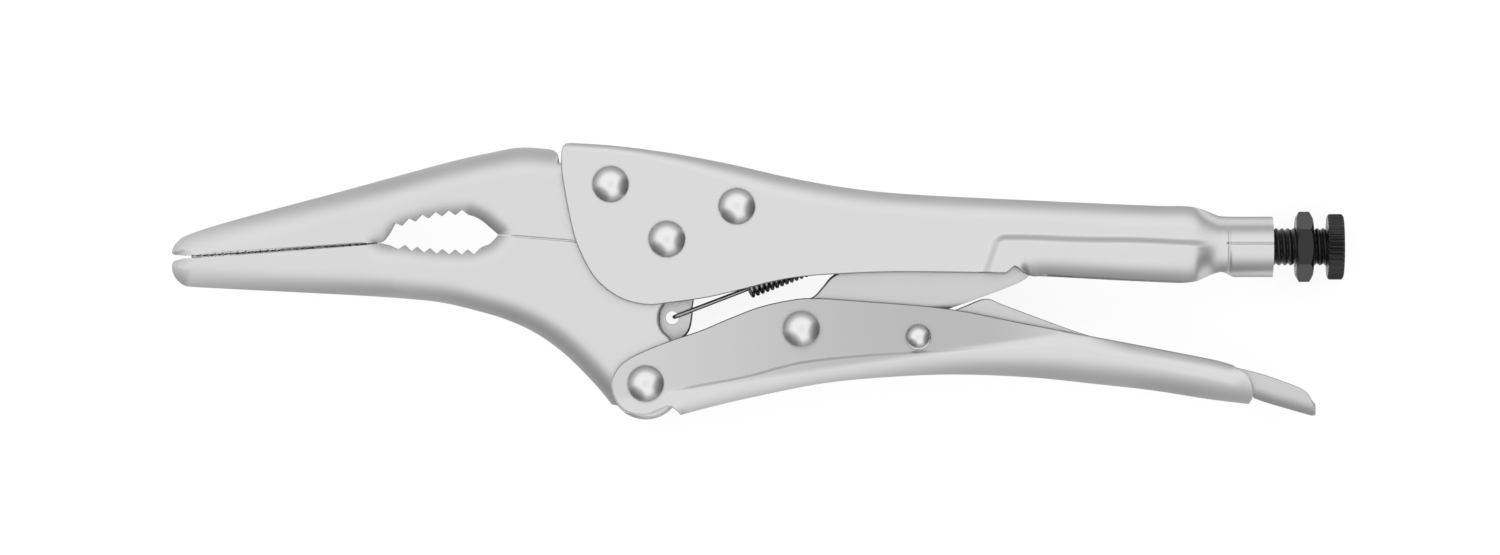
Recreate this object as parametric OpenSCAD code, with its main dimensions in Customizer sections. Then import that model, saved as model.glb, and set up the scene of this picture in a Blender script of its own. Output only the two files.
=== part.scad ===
// Long-nose locking pliers, about 250 mm long, lying flat on one side.
// Millimetres. The origin is on the jaw pivot's axis, in the plane on which the pliers lie:
// +X runs back towards the adjusting screw, +Y towards the fixed handle, +Z up through the thickness.
// Two folded sheet channels, the body and the lower handle, hold the jaws, the toggle link and the lever.

/* [Sheet channels] */
// Thickness of the folded sheet of the body and the lower handle
sheet_t = 2.2; // [1.8:0.1:2.4]
// Outer width of both channels
channel_w = 14.8; // [14.6:0.1:15.2]
// How far the pressed lobe behind the crease stands out of the body's side
lobe_step = 0.4; // [0.1:0.05:0.5]
// Outer diameter of the tube that ends the body
tube_d = 12.9; // [12.4:0.1:13.2]

/* [Jaws] */
// Thickness of both jaws
jaw_t = 10; // [9.4:0.1:10]
// Thickness of both jaws at the nose
nose_t = 5.6; // [4:0.1:8]
// Teeth on each side of the pipe grip
grip_teeth = 6; // [4:1:8]
// Depth of the pipe grip's teeth
grip_tooth_depth = 1.15; // [0.4:0.05:1.4]
// Pitch of the fine serrations along the nose
serration_pitch = 1.6; // [1.2:0.1:3]
// Depth of the fine serrations
serration_depth = 0.35; // [0.1:0.05:0.4]

/* [Rivets] */
// Diameter of the five large rivet heads
head_d = 7.9; // [7:0.1:8.4]
// Height of the large rivet heads
head_h = 2.4; // [2:0.1:2.8]
// Shank diameter of the large rivets
shank_d = 5.6; // [4:0.1:6]
// Diameter of the release lever's rivet heads
small_head_d = 5.3; // [4.8:0.1:6]
// Height of the release lever's rivet heads
small_head_h = 1.8; // [1.2:0.1:2.2]
// Shank diameter of the release lever's rivet
small_shank_d = 3.6; // [3:0.1:4]
// Radial clearance of every bore that turns or slides
running_gap = 0.05; // [0.02:0.01:0.08]

/* [Toggle parts] */
// Thickness of the toggle link
link_t = 9.6; // [8:0.1:9.8]
// Outer width of the release lever
lever_w = 9; // [8:0.1:9.4]
// Sheet thickness of the release lever
lever_sheet_t = 1.8; // [1.4:0.1:2]
// Wire diameter of the opening spring
spring_wire_d = 0.9; // [0.7:0.05:1]
// Outer diameter of the opening spring
spring_d = 4.4; // [4:0.1:4.8]
// Turns of the opening spring
spring_turns = 19; // [14:1:22]

/* [Adjusting screw] */
// Thread diameter of the adjusting screw
thread_d = 8; // [7.9:0.05:8]
// Pitch of the thread
thread_pitch = 1.25; // [1:0.05:1.5]
// Width of the lock nut across its flats
nut_af = 13; // [12.6:0.1:13.2]
// Thickness of the lock nut
nut_t = 3.7; // [3:0.1:4]
// Diameter of the knurled knob
knob_d = 14; // [13:0.1:15]
// Thickness of the knurled knob
knob_t = 3.4; // [3:0.1:3.4]
// Ribs of the knurl
knob_ribs = 36; // [24:1:48]

/* [Hidden] */

// Heights
half_w = channel_w / 2;
mid_z = half_w + head_h;
inner_half_w = half_w - sheet_t;
cut_h = 40;

// Pivots and rivets, seen from above
jaw_pivot = [0, 0];
front_rivet = [-12.0, 11.7];
rear_rivet = [14.9, 7.0];
handle_pivot = [-4.5, -30.8];
link_pivot = [28.6, -19.2];
lever_pivot = [53.5, -20.8];
link_nose = [76.4, -1.65];
link_nose_r = 4;
jaw_boss_r = 7;
jaw_boss_gap = 0.3;
handle_boss_r = 7.7;
lever_boss_r = 3.2;

// The adjusting screw runs along X
screw_y = -1.65;
screw_tip_x = 82.2;
tube_front_x = 118.8;
tube_back_x = 129.2;
nut_x = 134.1;
knob_x = 140.9;
thread_gap_x = 0.3;

// The jaws' meeting line
nose_x = -105.6;
seam_gap = 0.12;
seam = [[-110, -4.35], [-61, -0.85], [-36, 0.9], [-20, -0.45], [-6, -0.6]];
nose_seam_gap = 0.8;
nose_seam_end = -60;

// Pipe grip, from the nose end to the throat
grip_front = [-61.3, -0.75];
grip_back = [-36.0, 0.95];
grip_first = -58;
grip_last = -42.4;

// Opening spring, from the jaw's tab to the tab inside the body
spring_start = [1.1, -16.8];
spring_end = [45, 0];
coil_from = 17;
coil_to = 38;

satin = [0.78, 0.79, 0.79];
bright = [0.88, 0.88, 0.88];
dark_spring = [0.3, 0.3, 0.3];
black_oxide = [0.15, 0.15, 0.14];

// ---------- Curves ----------

// One point of a smooth span between points i and i + 1 of a list
function span_point(p, i, t) =
    let (a = p[max(i - 1, 0)], b = p[i], c = p[i + 1], d = p[min(i + 2, len(p) - 1)])
    0.5 * (2 * b + (c - a) * t + (2 * a - 5 * b + 4 * c - d) * t * t
        + (3 * b - a - 3 * c + d) * t * t * t);

// A smooth curve through every point of a list
function curve(p, steps = 3) = concat(
    [for (i = [0 : len(p) - 2], k = [0 : steps - 1]) span_point(p, i, k / steps)],
    [p[len(p) - 1]]);

// An arc, from one angle to another
function arc(centre, r, from, to, steps = 12) =
    [for (k = [0 : steps]) let (a = from + (to - from) * k / steps) centre + r * [cos(a), sin(a)]];

// A smooth step from 0 at a to 1 at b
function ease(x, a, b) = let (t = min(1, max(0, (x - a) / (b - a)))) t * t * (3 - 2 * t);

function mix(a, b, t) = a + (b - a) * t;

// ---------- Solids ----------

// A plate of a given outline and thickness, centred in the pliers' thickness
module plate(outline, thickness) {
    translate([0, 0, mid_z - thickness / 2])
        linear_extrude(thickness) polygon(outline);
}

// A round hole or pin along Z, right through
module upright(place, r) {
    translate([place[0], place[1], mid_z - cut_h / 2])
        cylinder(r = r, h = cut_h, $fn = 48);
}

// A cylinder along X on the screw's axis
module along_screw(from, to, r) {
    translate([from, screw_y, mid_z]) rotate([0, 90, 0])
        cylinder(r = r, h = to - from, $fn = 48);
}

// A skin over rings that all have the same number of points. Each end is closed by a strip
// between the two halves of its ring, so a ring runs out along one side and back along the other.
module loft(rings) {
    n = len(rings[0]);
    last = len(rings) - 1;
    sides = [for (k = [0 : last - 1], i = [0 : n - 1], upper = [0, 1])
        let (j = (i + 1) % n, a = k * n + i, b = k * n + j, c = a + n, d = b + n)
        upper == 0 ? [a, b, d] : [a, d, c]];
    strip = [for (i = [0 : n / 2 - 2], far = [0, 1])
        far == 0 ? [i, i + 1, n - 2 - i] : [i, n - 2 - i, n - 1 - i]];
    ends = [for (f = strip, rear = [0, 1]) rear == 0 ? [f[2], f[1], f[0]] : f + last * n * [1, 1, 1]];
    polyhedron(
        points = [for (r = rings, p = r) p],
        faces = concat(sides, [for (f = ends) if (f[0] != f[1] && f[1] != f[2] && f[0] != f[2]) f]));
}

// Half of a channel's section, from the fold's middle to the free edge, as [side, height] pairs.
// fold and edge are the heights of the fold and the free edge, r rounds the fold, and close
// turns the free edges in under the channel, from 0, straight, to 1, a lip at half the slit.
function half_section(w, fold, r, edge, step, crease, close, edge_r, slit) =
    let (up = fold > edge ? 1 : -1, low_w = w + step)
    concat(
        [for (a = [90 : -22.5 : 0]) [w - r + r * cos(a), fold + up * r * (sin(a) - 1)]],
        [[w, crease + 0.8 * up], [low_w, crease - 0.8 * up]],
        [for (q = [0 : 0.2 : 1])
            mix([low_w, edge + up * edge_r * (1 - q)],
                q < 1 ? [low_w - edge_r * (1 - cos(112.5 * q)), edge + up * edge_r * (1 - sin(112.5 * q))]
                    : [slit, edge],
                close)]);

// The whole ring of a channel of sheet at one place along X. It runs the same way round
// whether the fold is above or below.
function channel_ring(x, w, t, fold, r, edge, step = 0, crease = 0, close = 0, edge_r = 5.5, slit = 0.4) =
    let (up = fold > edge ? 1 : -1,
         outer = half_section(w, fold, r, edge, step, crease, close, edge_r, slit),
         inner = half_section(w - t, fold - up * t, max(r - t, 0.4), edge + up * t * close,
                              step, crease, close, edge_r - t * close, slit),
         n = len(outer) - 1)
    concat(
        [for (i = [n : -1 : 0]) [x, outer[i][1], mid_z + up * outer[i][0]]],
        [for (p = outer) [x, p[1], mid_z - up * p[0]]],
        [for (i = [n : -1 : 0]) [x, inner[i][1], mid_z - up * inner[i][0]]],
        [for (p = inner) [x, p[1], mid_z + up * p[0]]]);

// ---------- Body ----------

body_top = curve([[-24, 20.6], [-12, 19.9], [0.7, 18.3], [13.6, 15.9], [26.4, 13.0], [39, 10.8],
                  [52, 9.5], [78, 8.2], [103, 7.1], [110, 7.0], [116, 5.9], [119.2, 4.9], [121, 4.8]]);
body_bottom = curve([[-24, -18], [8, -14.5], [30, -9.6], [50, -8.2], [72, -8.2], [78, -8.0], [81, -8.0],
                     [96, -8.8], [110, -9.3], [113, -9.0], [116, -7.9], [119.2, -7.7], [121, -7.7]]);
body_side = concat(
    [[-20.9, 21.5]],
    curve([[-21.7, 20.5], [-22.3, 19.9], [-22.5, 16.2], [-22.0, 11.6], [-20.2, 2.4], [-18.4, -2.9],
           [-15.1, -8.6], [-10.1, -12.5], [-4.5, -14.0], [0.5, -13.6], [8.3, -12.5], [15.4, -10.9],
           [22.5, -9.1], [28.4, -8.1], [36, -7.5], [49.7, -7.05], [72.2, -7.3]]),
    [[74.0, -5.8], [75.8, -7.1], [80.4, -7.4], [80.8, -14], [130, -14], [130, 21.5]]);

// One ring of the body
function body_ring(x) =
    let (neck = ease(x, 110, 119), lobe = ease(x, 68, 73))
    channel_ring(
        x = x,
        w = half_w - 1.05 * neck,
        t = sheet_t - 0.5 * neck,
        fold = lookup(x, body_top),
        r = mix(1.6, 4, ease(x, -14, 26)),
        edge = lookup(x, body_bottom),
        step = lobe_step * lobe * (1 - neck),
        crease = -0.2 - 0.6 * ease(x, 95, 118),
        close = ease(x, 80.8, 82.4),
        edge_r = 5.6);

body_stations = concat([for (x = [-24 : 6 : 60]) x], [64, 68, 69.7, 71.4, 73, 76.4, 80.8, 81.6, 82.4],
                       [for (x = [84 : 6.5 : 110]) x], [112, 114, 116, tube_front_x]);

// The tab that holds the spring's rear hook, lanced out of the fold and bent inwards
tab_t = 1.4;
tab_outline = [[42.4, 9.2], [48.4, 9.2], [48.4, 8.0], [47.2, 1.2], [46.4, -0.6], [44.2, -1.2],
               [43.2, 0.4], [43.4, 8.0]];

module body_shell() color(satin) difference() {
    union() {
        difference() {
            intersection() {
                loft([for (x = body_stations) body_ring(x)]);
                plate(body_side, cut_h);
            }
            translate([49.6, 4, mid_z - 1.2]) cube([5, 8, 2.4]);
        }
        difference() {
            plate(tab_outline, tab_t);
            upright(spring_end, spring_wire_d / 2 + 0.4);
        }
        along_screw(tube_front_x, tube_back_x, tube_d / 2);
    }
    upright(jaw_pivot, shank_d / 2);
    upright(front_rivet, shank_d / 2);
    upright(rear_rivet, shank_d / 2);
    along_screw(tube_front_x - 30, tube_front_x + 0.5, thread_d / 2 + thread_gap_x);
    along_screw(tube_front_x, tube_back_x + 1, thread_d / 2 + running_gap);
}

// ---------- Jaws ----------

// The meeting line, moved up or down by half its gap, which widens towards the nose
function seam_line(side) = [for (p = seam)
    p + [0, side * mix(nose_seam_gap, seam_gap, ease(p[0], nose_x, nose_seam_end)) / 2]];

// Roots and tips of the pipe grip's teeth along a shallow arch; side is 1 above and -1 below
function grip_arch(x, side) = side > 0 ? 6.35 - 0.0136 * pow(x + 43.5, 2) : -3.5 + 0.0085 * pow(x + 43.5, 2);
function grip_row(side) =
    let (pitch = (grip_last - grip_first) / grip_teeth)
    [for (i = [0 : 2 * grip_teeth])
        let (x = grip_first + pitch * i / 2)
        [x, grip_arch(x, side) - side * (i % 2) * grip_tooth_depth]];
grip_outline = concat(
    [grip_front, [-59.4, 0.6]], grip_row(1), [[-40.8, 4.7], [-38.6, 3.4], [-37.2, 2.3]],
    [grip_back], [[-37.2, -0.5], [-38.6, -1.5], [-39.9, -2.0]],
    [for (i = [2 * grip_teeth : -1 : 0]) grip_row(-1)[i]], [[-59.3, -1.3]]);

// Thins a jaw towards its nose, on both faces
module nose_taper() {
    rotate([90, 0, 0]) linear_extrude(4 * cut_h, center = true) polygon([
        [nose_x - 1, mid_z - nose_t / 2], [-58, mid_z - jaw_t / 2], [60, mid_z - jaw_t / 2],
        [60, mid_z + jaw_t / 2], [-58, mid_z + jaw_t / 2], [nose_x - 1, mid_z + nose_t / 2]]);
}

// Fine grooves across the nose's gripping face, on one side of the meeting line
module serrations(side) {
    slope = (seam[1][1] - seam[0][1]) / (seam[1][0] - seam[0][0]);
    face = seam_line(side);
    for (x = [nose_x + 3 : serration_pitch : grip_front[0] - 2])
        translate([x, lookup(x, face), mid_z]) rotate([0, 0, atan(slope)])
            linear_extrude(cut_h, center = true)
                polygon([[-0.35, -side * 0.2], [0.35, -side * 0.2], [0, side * serration_depth]]);
}

upper_jaw_outline = concat(
    curve([[nose_x, -3.2], [nose_x, -1.8], [-104.4, -0.5], [-101.7, 1.1], [-92.1, 4.1], [-69.7, 10.1],
           [-47.3, 16.2], [-37.7, 18.4], [-31.3, 19.5], [-25.2, 19.2]]),
    arc([-25.0, 17.4], 1.7, 80, 10, 4),
    [[-23.1, 16.4], [-21, 16.2], [-6, 15.6], [7, 13.4], [18, 10.8]],
    arc([16.8, 6.6], 4.2, 60, -60, 6),
    [[9, 2.2]],
    arc(jaw_pivot, jaw_boss_r + jaw_boss_gap, 16, 176, 16),
    [[-8.5, -0.2], [-19.8, seam_line(1)[3][1]], [-36, seam_line(1)[2][1]], [-61, seam_line(1)[1][1]],
     [-104.9, seam_line(1)[0][1] + 0.42]]);

module upper_jaw() color(satin) difference() {
    intersection() {
        plate(upper_jaw_outline, jaw_t);
        nose_taper();
    }
    plate(grip_outline, cut_h);
    serrations(1);
    upright(front_rivet, shank_d / 2);
    upright(rear_rivet, shank_d / 2);
}

lower_jaw_outline = concat(
    [[nose_x + 0.6, seam_line(-1)[0][1] + 0.33], [nose_x, -5.2]],
    curve([[nose_x, -6.7], [-104.7, -8.5], [-103.0, -9.9], [-92.1, -10.7], [-66.5, -12.0], [-53.7, -12.9],
           [-47.3, -13.7], [-40.9, -15.2], [-34.5, -17.1], [-28.1, -20.0], [-21.7, -24.6],
           [-15.3, -31.0], [-11.6, -35.5]]),
    arc(handle_pivot, handle_boss_r, 230, 355, 14),
    curve([[2.9, -28], [1.1, -21.8], [-0.9, -19.4], [-1.5, -16.9], [-0.6, -14.1], [3.2, -9.5]]),
    arc(jaw_pivot, jaw_boss_r, -58, 176, 24),
    [[-8.6, -0.5], [-19.8, seam_line(-1)[3][1]], [-36, seam_line(-1)[2][1]], [-61, seam_line(-1)[1][1]]]);

// The thin tongue that the spring hooks on
tongue_t = 2.4;
tongue_outline = curve([[-3, -12], [4.9, -12], [5.5, -14.7], [5.1, -18.4], [4.0, -20.6], [1.1, -22.6],
                        [-3, -24]]);

module lower_jaw() color(satin) difference() {
    union() {
        intersection() {
            plate(lower_jaw_outline, jaw_t);
            nose_taper();
        }
        plate(tongue_outline, tongue_t);
    }
    plate(grip_outline, cut_h);
    serrations(-1);
    upright(jaw_pivot, shank_d / 2 + running_gap);
    upright(handle_pivot, shank_d / 2 + running_gap);
    upright(spring_start, 1.4);
}

// ---------- Lower handle ----------

handle_bottom = curve([[-13, -48], [0, -41], [2.2, -38.2], [3.9, -37.3], [10.4, -35.5], [20, -33.3],
                       [32.8, -30.8], [45.6, -29.5], [61, -28.85], [77.6, -29.5], [90.4, -30.8],
                       [103, -32.2], [116, -34.2], [126, -35.4]]);
handle_side = concat(
    [[2.9, -50]],
    [[2.7, -37.2], [2.0, -36.5], [0.9, -35.7], [0.1, -35.7]],
    curve([[-1.9, -36.5], [-4.4, -37.4], [-7.2, -37.2], [-9.7, -36.0], [-11.3, -33.5], [-11.8, -30.7],
           [-10.9, -28.2], [-9.0, -26.1], [-5.4, -24.1], [0.9, -21.6], [7.2, -19.5], [13.6, -16.8],
           [20, -14.4], [26.4, -13.0], [31.2, -12.6], [40.1, -13.1], [59.5, -14.8], [77.8, -18.3],
           [103.2, -23.1], [116, -25.6], [120.4, -26.8], [123.4, -29.0], [124.5, -31.2], [124.7, -33.7],
           [124.0, -35.0]]),
    [[123.4, -50]]);
handle_stations = concat([-13, -6, 0, 2.2, 3.9, 6], [for (x = [12 : 7 : 82]) x],
                         [for (x = [88 : 6 : 125]) x], [126]);

// One ring of the lower handle, whose section rounds off towards its rear
function handle_ring(x) =
    let (bottom = lookup(x, handle_bottom), rounding = ease(x, 20, 96))
    channel_ring(
        x = x,
        w = half_w,
        t = sheet_t,
        fold = bottom,
        r = mix(3, 6.2, rounding),
        edge = -8,
        crease = bottom + 9,
        edge_r = 4);

module lower_handle() color(satin) difference() {
    intersection() {
        loft([for (x = handle_stations) handle_ring(x)]);
        plate(handle_side, cut_h);
    }
    upright(handle_pivot, shank_d / 2);
    upright(link_pivot, shank_d / 2);
    upright(lever_pivot, small_shank_d / 2);
}

// ---------- Rivets ----------

// A domed head whose base is at height 0
module dome(d, h) {
    r = (d * d / 4 + h * h) / (2 * h);
    intersection() {
        translate([0, 0, h - r]) sphere(r = r, $fn = 64);
        cylinder(d = d + 1, h = h + 1, $fn = 48);
    }
}

// A rivet through both sides of a channel; its lower head is set down to a flat of the head's height
module rivet(place, d, h, shank) {
    color(bright) translate([place[0], place[1], mid_z]) {
        translate([0, 0, -half_w]) cylinder(d = shank, h = channel_w, $fn = 48);
        translate([0, 0, half_w]) dome(d, h);
        translate([0, 0, -half_w]) mirror([0, 0, 1]) intersection() {
            dome(d, 1.25 * h);
            cylinder(d = d + 1, h = h, $fn = 48);
        }
    }
}

module upper_jaw_front_rivet() rivet(front_rivet, head_d, head_h, shank_d);
module upper_jaw_rear_rivet() rivet(rear_rivet, head_d, head_h, shank_d);
module jaw_pivot_rivet() rivet(jaw_pivot, head_d, head_h, shank_d);
module handle_pivot_rivet() rivet(handle_pivot, head_d, head_h, shank_d);
module link_rivet() rivet(link_pivot, head_d, head_h, shank_d);
module release_lever_rivet() rivet(lever_pivot, small_head_d, small_head_h, small_shank_d);

// ---------- Toggle link ----------

link_outline = concat(
    arc(link_pivot, 6.6, 150, 300, 12),
    curve([[38, -23.1], [46, -20.2], [53.5, -17.1], [60.4, -14.75], [67.9, -12.1], [75.2, -9.2],
           [77.6, -7.2], [79.6, -3.9]]),
    arc(link_nose, link_nose_r, -10, 105, 10),
    curve([[70, 1.2], [58, -2.4], [46, -5.8], [34.6, -9.2], [31, -12.0], [27.2, -13.2]]));

module toggle_link() color(satin) difference() {
    plate(link_outline, link_t);
    upright(link_pivot, shank_d / 2 + running_gap);
}

// ---------- Release lever ----------

lever_outline = concat(
    arc(lever_pivot, lever_boss_r, 90, 250, 10),
    [[52.6, -40], [141, -40]],
    curve([[138.5, -36.9], [137.9, -35.6], [137.2, -33.9], [135.1, -31.8], [131.9, -30.5], [125.5, -28.4],
           [116, -26.2], [103, -23.6], [90.4, -20.7], [77.5, -16.2], [71.1, -13.8], [67.9, -12.75],
           [63.4, -14.4], [58, -16.6]]));
lever_bottom = concat(
    curve([[50, -24.0], [60, -25.0], [77, -26.2], [90, -27.8], [103, -29.2], [116, -31.1], [124.6, -32.4]]),
    curve([[125.4, -34.0], [128.7, -35.1], [135.1, -37.0], [140, -38.4]]));
lever_stations = concat([for (x = [49 : 8 : 121]) x], [124.6, 125.4, 130, 134, 138.4]);

// One ring of the release lever, whose fold is rounder than its bend needs
function lever_ring(x) =
    let (bottom = lookup(x, lever_bottom))
    channel_ring(x = x, w = lever_w / 2, t = lever_sheet_t, fold = bottom, r = 3.6, edge = -6,
                 crease = bottom + 6, edge_r = 3);

module release_lever() color(satin) difference() {
    intersection() {
        loft([for (x = lever_stations) lever_ring(x)]);
        plate(lever_outline, cut_h);
    }
    upright(lever_pivot, small_shank_d / 2 + running_gap);
}

// ---------- Opening spring ----------

spring_dir = (spring_end - spring_start) / norm(spring_end - spring_start);
spring_side = [-spring_dir[1], spring_dir[0]];
coil_r = (spring_d - spring_wire_d) / 2;
coil_rings = 10;
hook_from = 0.5;
hook_to = norm(spring_end - spring_start) - 0.1;

// A point of the spring: how far along, how far to the side and how high
function spring_point(along, side, up) =
    let (p = spring_start + along * spring_dir + side * spring_side) [p[0], p[1], mid_z + up];

// One ring of the wire on the coil
function coil_ring(k) =
    let (a = 360 * k / coil_rings, s = mix(coil_from, coil_to, k / (coil_rings * spring_turns)))
    [for (b = [300 : -60 : 0])
        let (r = coil_r + spring_wire_d / 2 * cos(b))
        spring_point(s + spring_wire_d / 2 * sin(b), r * sin(a), r * cos(a))];

// Straight wire between two distances along the spring, level with the coil's highest wire
module spring_leg(from, to) {
    translate(spring_point(from, 0, coil_r)) rotate([0, 0, atan2(spring_dir[1], spring_dir[0])])
        rotate([0, 90, 0]) cylinder(d = spring_wire_d, h = to - from, $fn = 24);
}

// A hook's end, down through the hole in a tab
module spring_hook(along) {
    translate(spring_point(along, 0, -coil_r))
        cylinder(d = spring_wire_d, h = 2 * coil_r + spring_wire_d / 2, $fn = 24);
}

module opening_spring() color(dark_spring) union() {
    loft([for (k = [0 : coil_rings * spring_turns]) coil_ring(k)]);
    spring_leg(hook_from, coil_from + 0.4);
    spring_leg(coil_to - 0.4, hook_to);
    spring_hook(hook_from);
    spring_hook(hook_to);
}

// ---------- Adjusting screw, lock nut and knob ----------

thread_root_r = thread_d / 2 - 0.6 * thread_pitch;

module adjusting_screw() color(black_oxide) difference() {
    union() {
        along_screw(screw_tip_x + 1.2, knob_x + knob_t, thread_d / 2);
        translate([screw_tip_x, screw_y, mid_z]) rotate([0, 90, 0])
            cylinder(r1 = thread_d / 2 - 1.2, r2 = thread_d / 2, h = 1.2, $fn = 48);
    }
    for (from = [tube_back_x + 0.3, nut_x + nut_t + 0.3], k = [0 : 2])
        if (from + (k + 1) * thread_pitch < knob_x)
            thread_groove(from + k * thread_pitch);
}

// One groove of the thread where it shows
module thread_groove(x) {
    translate([x, screw_y, mid_z]) rotate([0, 90, 0])
        rotate_extrude($fn = 48) polygon([
            [thread_root_r, 0.45 * thread_pitch], [thread_d / 2 + 0.1, 0],
            [thread_d / 2 + 0.1, 0.9 * thread_pitch]]);
}

module lock_nut() color(black_oxide) difference() {
    intersection() {
        translate([nut_x, screw_y, mid_z]) rotate([0, 90, 0]) rotate([0, 0, 30])
            cylinder(d = nut_af / cos(30), h = nut_t, $fn = 6);
        translate([nut_x, screw_y, mid_z]) rotate([0, 90, 0]) rotate_extrude($fn = 48) polygon([
            [0, 0], [nut_af / 2, 0], [nut_af / cos(30) / 2, 0.6], [nut_af / cos(30) / 2, nut_t - 0.6],
            [nut_af / 2, nut_t], [0, nut_t]]);
    }
    along_screw(nut_x - 1, nut_x + nut_t + 1, thread_d / 2 + running_gap);
}

// Outline of the knurl: straight ribs around the rim
knurl_outline = [for (i = [0 : 2 * knob_ribs - 1])
    let (a = 180 * i / knob_ribs, r = knob_d / 2 - 0.5 * (i % 2)) r * [cos(a), sin(a)]];

module knurled_knob() color(black_oxide) difference() {
    translate([knob_x, screw_y, mid_z]) rotate([0, 90, 0])
        linear_extrude(knob_t) polygon(knurl_outline);
    along_screw(knob_x - 1, knob_x + knob_t + 1, thread_d / 2 + running_gap);
}

// ---------- The pliers ----------

body_shell();
upper_jaw();
upper_jaw_front_rivet();
upper_jaw_rear_rivet();
jaw_pivot_rivet();
lower_jaw();
lower_handle();
handle_pivot_rivet();
link_rivet();
release_lever_rivet();
toggle_link();
release_lever();
opening_spring();
adjusting_screw();
lock_nut();
knurled_knob();
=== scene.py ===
import math

import bpy
import numpy as np
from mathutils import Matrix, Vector
from mathutils.geometry import delaunay_2d_cdt


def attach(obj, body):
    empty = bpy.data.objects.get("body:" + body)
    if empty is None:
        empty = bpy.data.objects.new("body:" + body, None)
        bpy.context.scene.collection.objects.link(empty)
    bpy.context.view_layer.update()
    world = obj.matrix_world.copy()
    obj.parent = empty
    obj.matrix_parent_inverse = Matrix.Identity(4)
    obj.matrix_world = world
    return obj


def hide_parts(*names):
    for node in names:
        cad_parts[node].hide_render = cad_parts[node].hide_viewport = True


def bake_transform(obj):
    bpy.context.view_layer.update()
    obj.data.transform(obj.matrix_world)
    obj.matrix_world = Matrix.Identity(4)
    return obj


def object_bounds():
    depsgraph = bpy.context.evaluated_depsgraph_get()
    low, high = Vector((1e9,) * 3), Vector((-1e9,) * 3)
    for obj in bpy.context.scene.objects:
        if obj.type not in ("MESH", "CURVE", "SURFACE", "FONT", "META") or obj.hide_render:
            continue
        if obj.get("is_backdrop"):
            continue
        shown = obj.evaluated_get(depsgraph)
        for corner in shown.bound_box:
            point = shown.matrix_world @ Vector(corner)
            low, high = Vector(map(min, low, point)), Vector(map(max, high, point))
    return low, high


# Long-nose locking pliers. Lengths are in millimetres until a mesh is made, and heights are
# measured from the pliers' middle plane, so each piece's lower side mirrors its upper side.

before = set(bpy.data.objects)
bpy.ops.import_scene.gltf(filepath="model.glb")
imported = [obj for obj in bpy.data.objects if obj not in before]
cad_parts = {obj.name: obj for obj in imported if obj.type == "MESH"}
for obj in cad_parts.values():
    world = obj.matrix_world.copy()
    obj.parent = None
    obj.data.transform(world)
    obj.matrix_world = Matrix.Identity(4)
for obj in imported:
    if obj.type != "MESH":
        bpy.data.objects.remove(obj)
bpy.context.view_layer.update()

MM = 0.001
HALF_W = 7.4
MID_Z = 9.8
SHEET_T = 2.2
JAW_HALF = 5.0
NOSE_HALF = 2.8
SCREW_Y = -1.65

FRONT_RIVET = (-12.0, 11.7)
REAR_RIVET = (14.9, 7.0)
JAW_PIVOT = (0.0, 0.0)
HANDLE_PIVOT = (-4.5, -30.8)
LINK_PIVOT = (28.6, -19.2)
LEVER_PIVOT = (53.5, -20.8)
LINK_NOSE = (76.4, -1.65)
SPRING_START = (1.1, -16.8)
SPRING_END = (45.0, 0.0)
NOSE_X = -105.6

RIVET_HOLE = 2.8
TURNING_HOLE = 2.85
LEVER_HOLE = 1.8
SLOT_HALF = 1.2
EDGE_STEP = 0.5

# Numbers that steer the meshing.
CHUNK = 3000
TINY = 1e-9
WELD = 1e4
SLIVER = 1e-7
INSET = 0.03
PROBE = 0.01
ROWS_BESIDE = 9
CLEAR = 0.035
CELL = 0.09
BLEND = 5
HOLE_R, HOLE_CUT = 0.3, 0.06


# ---------- Lines and curves ----------

def curve(points, steps=8):
    """A smooth line through every point."""
    p = np.array(points, float)
    ends = np.vstack([p[:1], p, p[-1:]])
    t = np.arange(steps)[:, None] / steps
    spans = []
    for i in range(len(p) - 1):
        a, b, c, d = ends[i:i + 4]
        spans.append(0.5 * (2 * b + (c - a) * t + (2 * a - 5 * b + 4 * c - d) * t ** 2
                            + (3 * b - a - 3 * c + d) * t ** 3))
    return np.vstack(spans + [p[-1:]])


def pair(x, y):
    """Points from their coordinates, or the points of a line with heights added."""
    return np.column_stack([x, y])


def flat(v):
    """Directions in the middle plane as 3-D ones."""
    return pair(v, np.zeros(len(v)))


def arc(centre, r, start, end, steps=12):
    """Part of a circle between two angles in degrees."""
    a = np.radians(np.linspace(start, end, steps + 1))
    return np.array(centre) + r * pair(np.cos(a), np.sin(a))


def split(points, spacing):
    """The same line with no two neighbours further apart than the spacing."""
    p = np.array(points, float)
    out = [p[:1]]
    for a, b in zip(p[:-1], p[1:]):
        n = max(1, math.ceil(np.hypot(*(b - a)) / spacing))
        out.append(a + (b - a) * (np.arange(1, n + 1) / n)[:, None])
    return np.vstack(out)


def ease(x, a, b):
    """A smooth rise from 0 at a to 1 at b."""
    t = np.clip((np.asarray(x, float) - a) / (b - a), 0, 1)
    return t * t * (3 - 2 * t)


def mix(a, b, t):
    return a + (b - a) * t


def round_off(t):
    """Height of a quarter circle, from 0 at t = 0 to 1 at t = 1."""
    return np.sqrt(1 - (1 - np.clip(t, 0, 1)) ** 2)


def shoulder(t):
    """A softer rounding than a quarter circle, which meets the wall at an angle."""
    return 1 - (1 - np.clip(t, 0, 1)) ** 2


def beside(line, off):
    """The line moved to its left."""
    d = np.gradient(line, axis=0)
    left = pair(-d[:, 1], d[:, 0]) / np.maximum(np.hypot(*d.T), TINY)[:, None]
    return line + left * np.reshape(off, (-1, 1))


def distance(q, line):
    """How far each point of q is from an open line."""
    a, d = line[:-1], line[1:] - line[:-1]
    d2 = np.maximum((d * d).sum(1), 1e-12)
    out = np.empty(len(q))
    for s in range(0, len(q), CHUNK):
        v = q[s:s + CHUNK, None] - a[None]
        t = np.clip((v * d).sum(2) / d2, 0, 1)
        out[s:s + CHUNK] = np.sqrt(((v - t[..., None] * d) ** 2).sum(2).min(1))
    return out


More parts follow.
